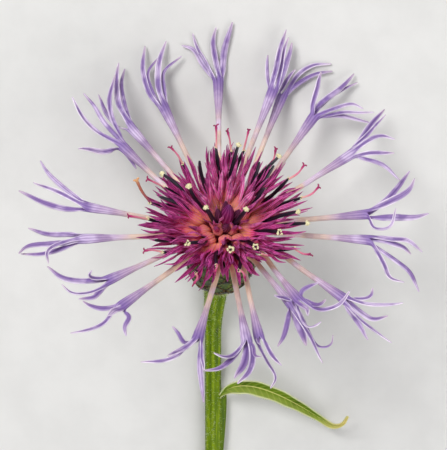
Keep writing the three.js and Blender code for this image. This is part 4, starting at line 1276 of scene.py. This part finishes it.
def stem(hair_look):
    path = stem_path()
    angles = circle(STEM_SIDES)
    end, forward, _ = path[0]
    top, upward, _ = path[-1]
    rows = [[lerp(end, stem_point(*path[0], a), share) + forward * sunk for a in angles]
            for share, _, sunk in STEM_CUT]
    rows += [[stem_point(*station, a) for a in angles] for station in path]
    values = [{"rib": 0.0, "cut": cut} for _, cut, _ in STEM_CUT]
    values += [{"rib": [rib_height(a) for a in angles], "cut": 0.0}] * len(path)
    maker = Maker()
    maker.tube(rows, values, end + forward * 0.3, top + upward * 0.1)
    maker.build("stem_skin", stem_material(), "stem", "stem", place=np.asarray)

    hairs = Maker()
    dice = random.Random(7)
    for _ in range(STEM_HAIRS):
        station = path[dice.randrange(2, len(path) - 1)]
        angle = (dice.randrange(RIBS) + 0.75) * 2 * math.pi / RIBS + dice.gauss(0, 0.17)
        if dice.random() < STRAY_HAIRS:
            angle = dice.uniform(0, 2 * math.pi)
        root = stem_point(*station, angle)
        away = unit(root - station[0])
        lean = station[1] * dice.uniform(-0.9, 0.9) + np.cross(away, station[1]) * dice.uniform(-1.2, 1.2)
        hair(hairs, root, unit(away * dice.uniform(0.5, 1.0) + lean * 0.7), dice.uniform(0.25, 0.75),
             STEM_HAIR_WIDTH, lean * dice.uniform(-0.3, 0.3))
    for _ in range(COLLAR_HAIRS):
        station = path[dice.randrange(len(path) - COLLAR_ROWS, len(path) - 1)]
        root = stem_point(*station, dice.uniform(0, 2 * math.pi))
        away = unit(root - station[0])
        lean = station[1] * dice.uniform(-1.4, 0.6) + np.cross(away, station[1]) * dice.uniform(-1, 1)
        hair(hairs, root, unit(away * 0.7 + lean * 0.6), dice.uniform(0.5, 1.1), COLLAR_HAIR_WIDTH,
             lean * dice.uniform(-0.3, 0.3))
    hairs.build("stem_hairs", hair_look, "stem", place=np.asarray)


# ---- leaf ----
def leaf(hair_look):
    line, tangents = spline([np.array(p) + CENTRE_SHIFT for p in LEAF_PATH], LEAF_ROWS)
    right, top = frames(line, tangents)
    across = np.linspace(-1, 1, LEAF_COLUMNS)
    rows, values = [], []
    for k, centre in enumerate(line):
        t = k / (LEAF_ROWS - 1)
        half = LEAF_HALF_WIDTH * between(LEAF_WIDTH, t)
        row = []
        for u in across:
            wave = LEAF_WAVE[0] * math.sin(t * LEAF_WAVE[1] + (1.7 if u > 0 else 0)) * abs(u) ** 3 * half
            x = u * half * math.cos(LEAF_FOLD)
            y = (math.sqrt(u * u + 0.02) - 0.14) * half * math.sin(LEAF_FOLD) * 0.75 + wave
            row.append(above(centre + right[k] * x + top[k] * (y + 0.1), LEAF_GROUND))
        rows.append(row)
        values.append({"along": t, "across": across})
    maker = Maker()
    maker.sheet(rows, values)
    maker.build("leaf_blade", leaf_material(), "leaf", "leaf", place=np.asarray, skin=LEAF_SKIN, finer=1,
                inward=False)

    hairs = Maker()
    dice = random.Random(11)
    for row, out, up in zip(rows, right, top):
        for way, point in ((-1, row[0]), (1, row[-1])):
            for _ in range(LEAF_HAIRS):
                heading = unit(out * way * dice.uniform(0.3, 1) + up * dice.uniform(0.2, 1)
                               + np.array([dice.uniform(-0.5, 0.5), dice.uniform(-0.5, 0.5), 0]))
                hair(hairs, point, heading, dice.uniform(0.2, 0.45), LEAF_HAIR_WIDTH,
                     up * dice.uniform(-0.3, 0.3))
    hairs.build("leaf_hairs", hair_look, "leaf", place=np.asarray)


# ---- studio ----
def place_in_scene(name, data, location, rotation):
    made = bpy.data.objects.new(name, data)
    made.location = location
    made.rotation_euler = rotation
    bpy.context.scene.collection.objects.link(made)
    return made


def camera():
    right, up = CAMERA_OFFSET
    place = HEAD_AT + EAST * right + PICTURE_UP * up + TO_CAMERA * CAMERA_DISTANCE
    data = bpy.data.cameras.new("camera")
    data.lens = CAMERA_LENS
    data.sensor_width = CAMERA_SENSOR
    data.clip_start = CAMERA_CLIP
    bpy.context.scene.camera = place_in_scene("camera", data, place * MM, (-lean, 0, 0))


def studio():
    bpy.context.scene.view_settings.view_transform = "Standard"
    bpy.ops.mesh.primitive_plane_add(size=FLOOR_SIZE, location=(0, 0, -FLOOR_DROP))
    floor = bpy.context.object
    floor.name = "floor"
    floor.data.materials.append(floor_material())
    for name, (place, aim, size, power) in LAMPS.items():
        data = bpy.data.lights.new(name, "AREA")
        data.shape = "DISK"
        data.size = size
        data.energy = power
        towards = Vector(aim) - Vector(place)
        place_in_scene(name, data, place, towards.to_track_quat("-Z", "Y").to_euler())
    world = bpy.data.worlds.new("studio")
    world.use_nodes = True
    background = world.node_tree.nodes["Background"]
    background.inputs["Color"].default_value = SKY
    background.inputs["Strength"].default_value = SKY_STRENGTH
    bpy.context.scene.world = world


camera()
studio()
petal = ray_material()
for number in range(len(RAYS)):
    ray_floret(number, petal)
disc_florets()
centre_buds()
involucre()
white_hair = hair_material()
stem(white_hair)
leaf(white_hair)
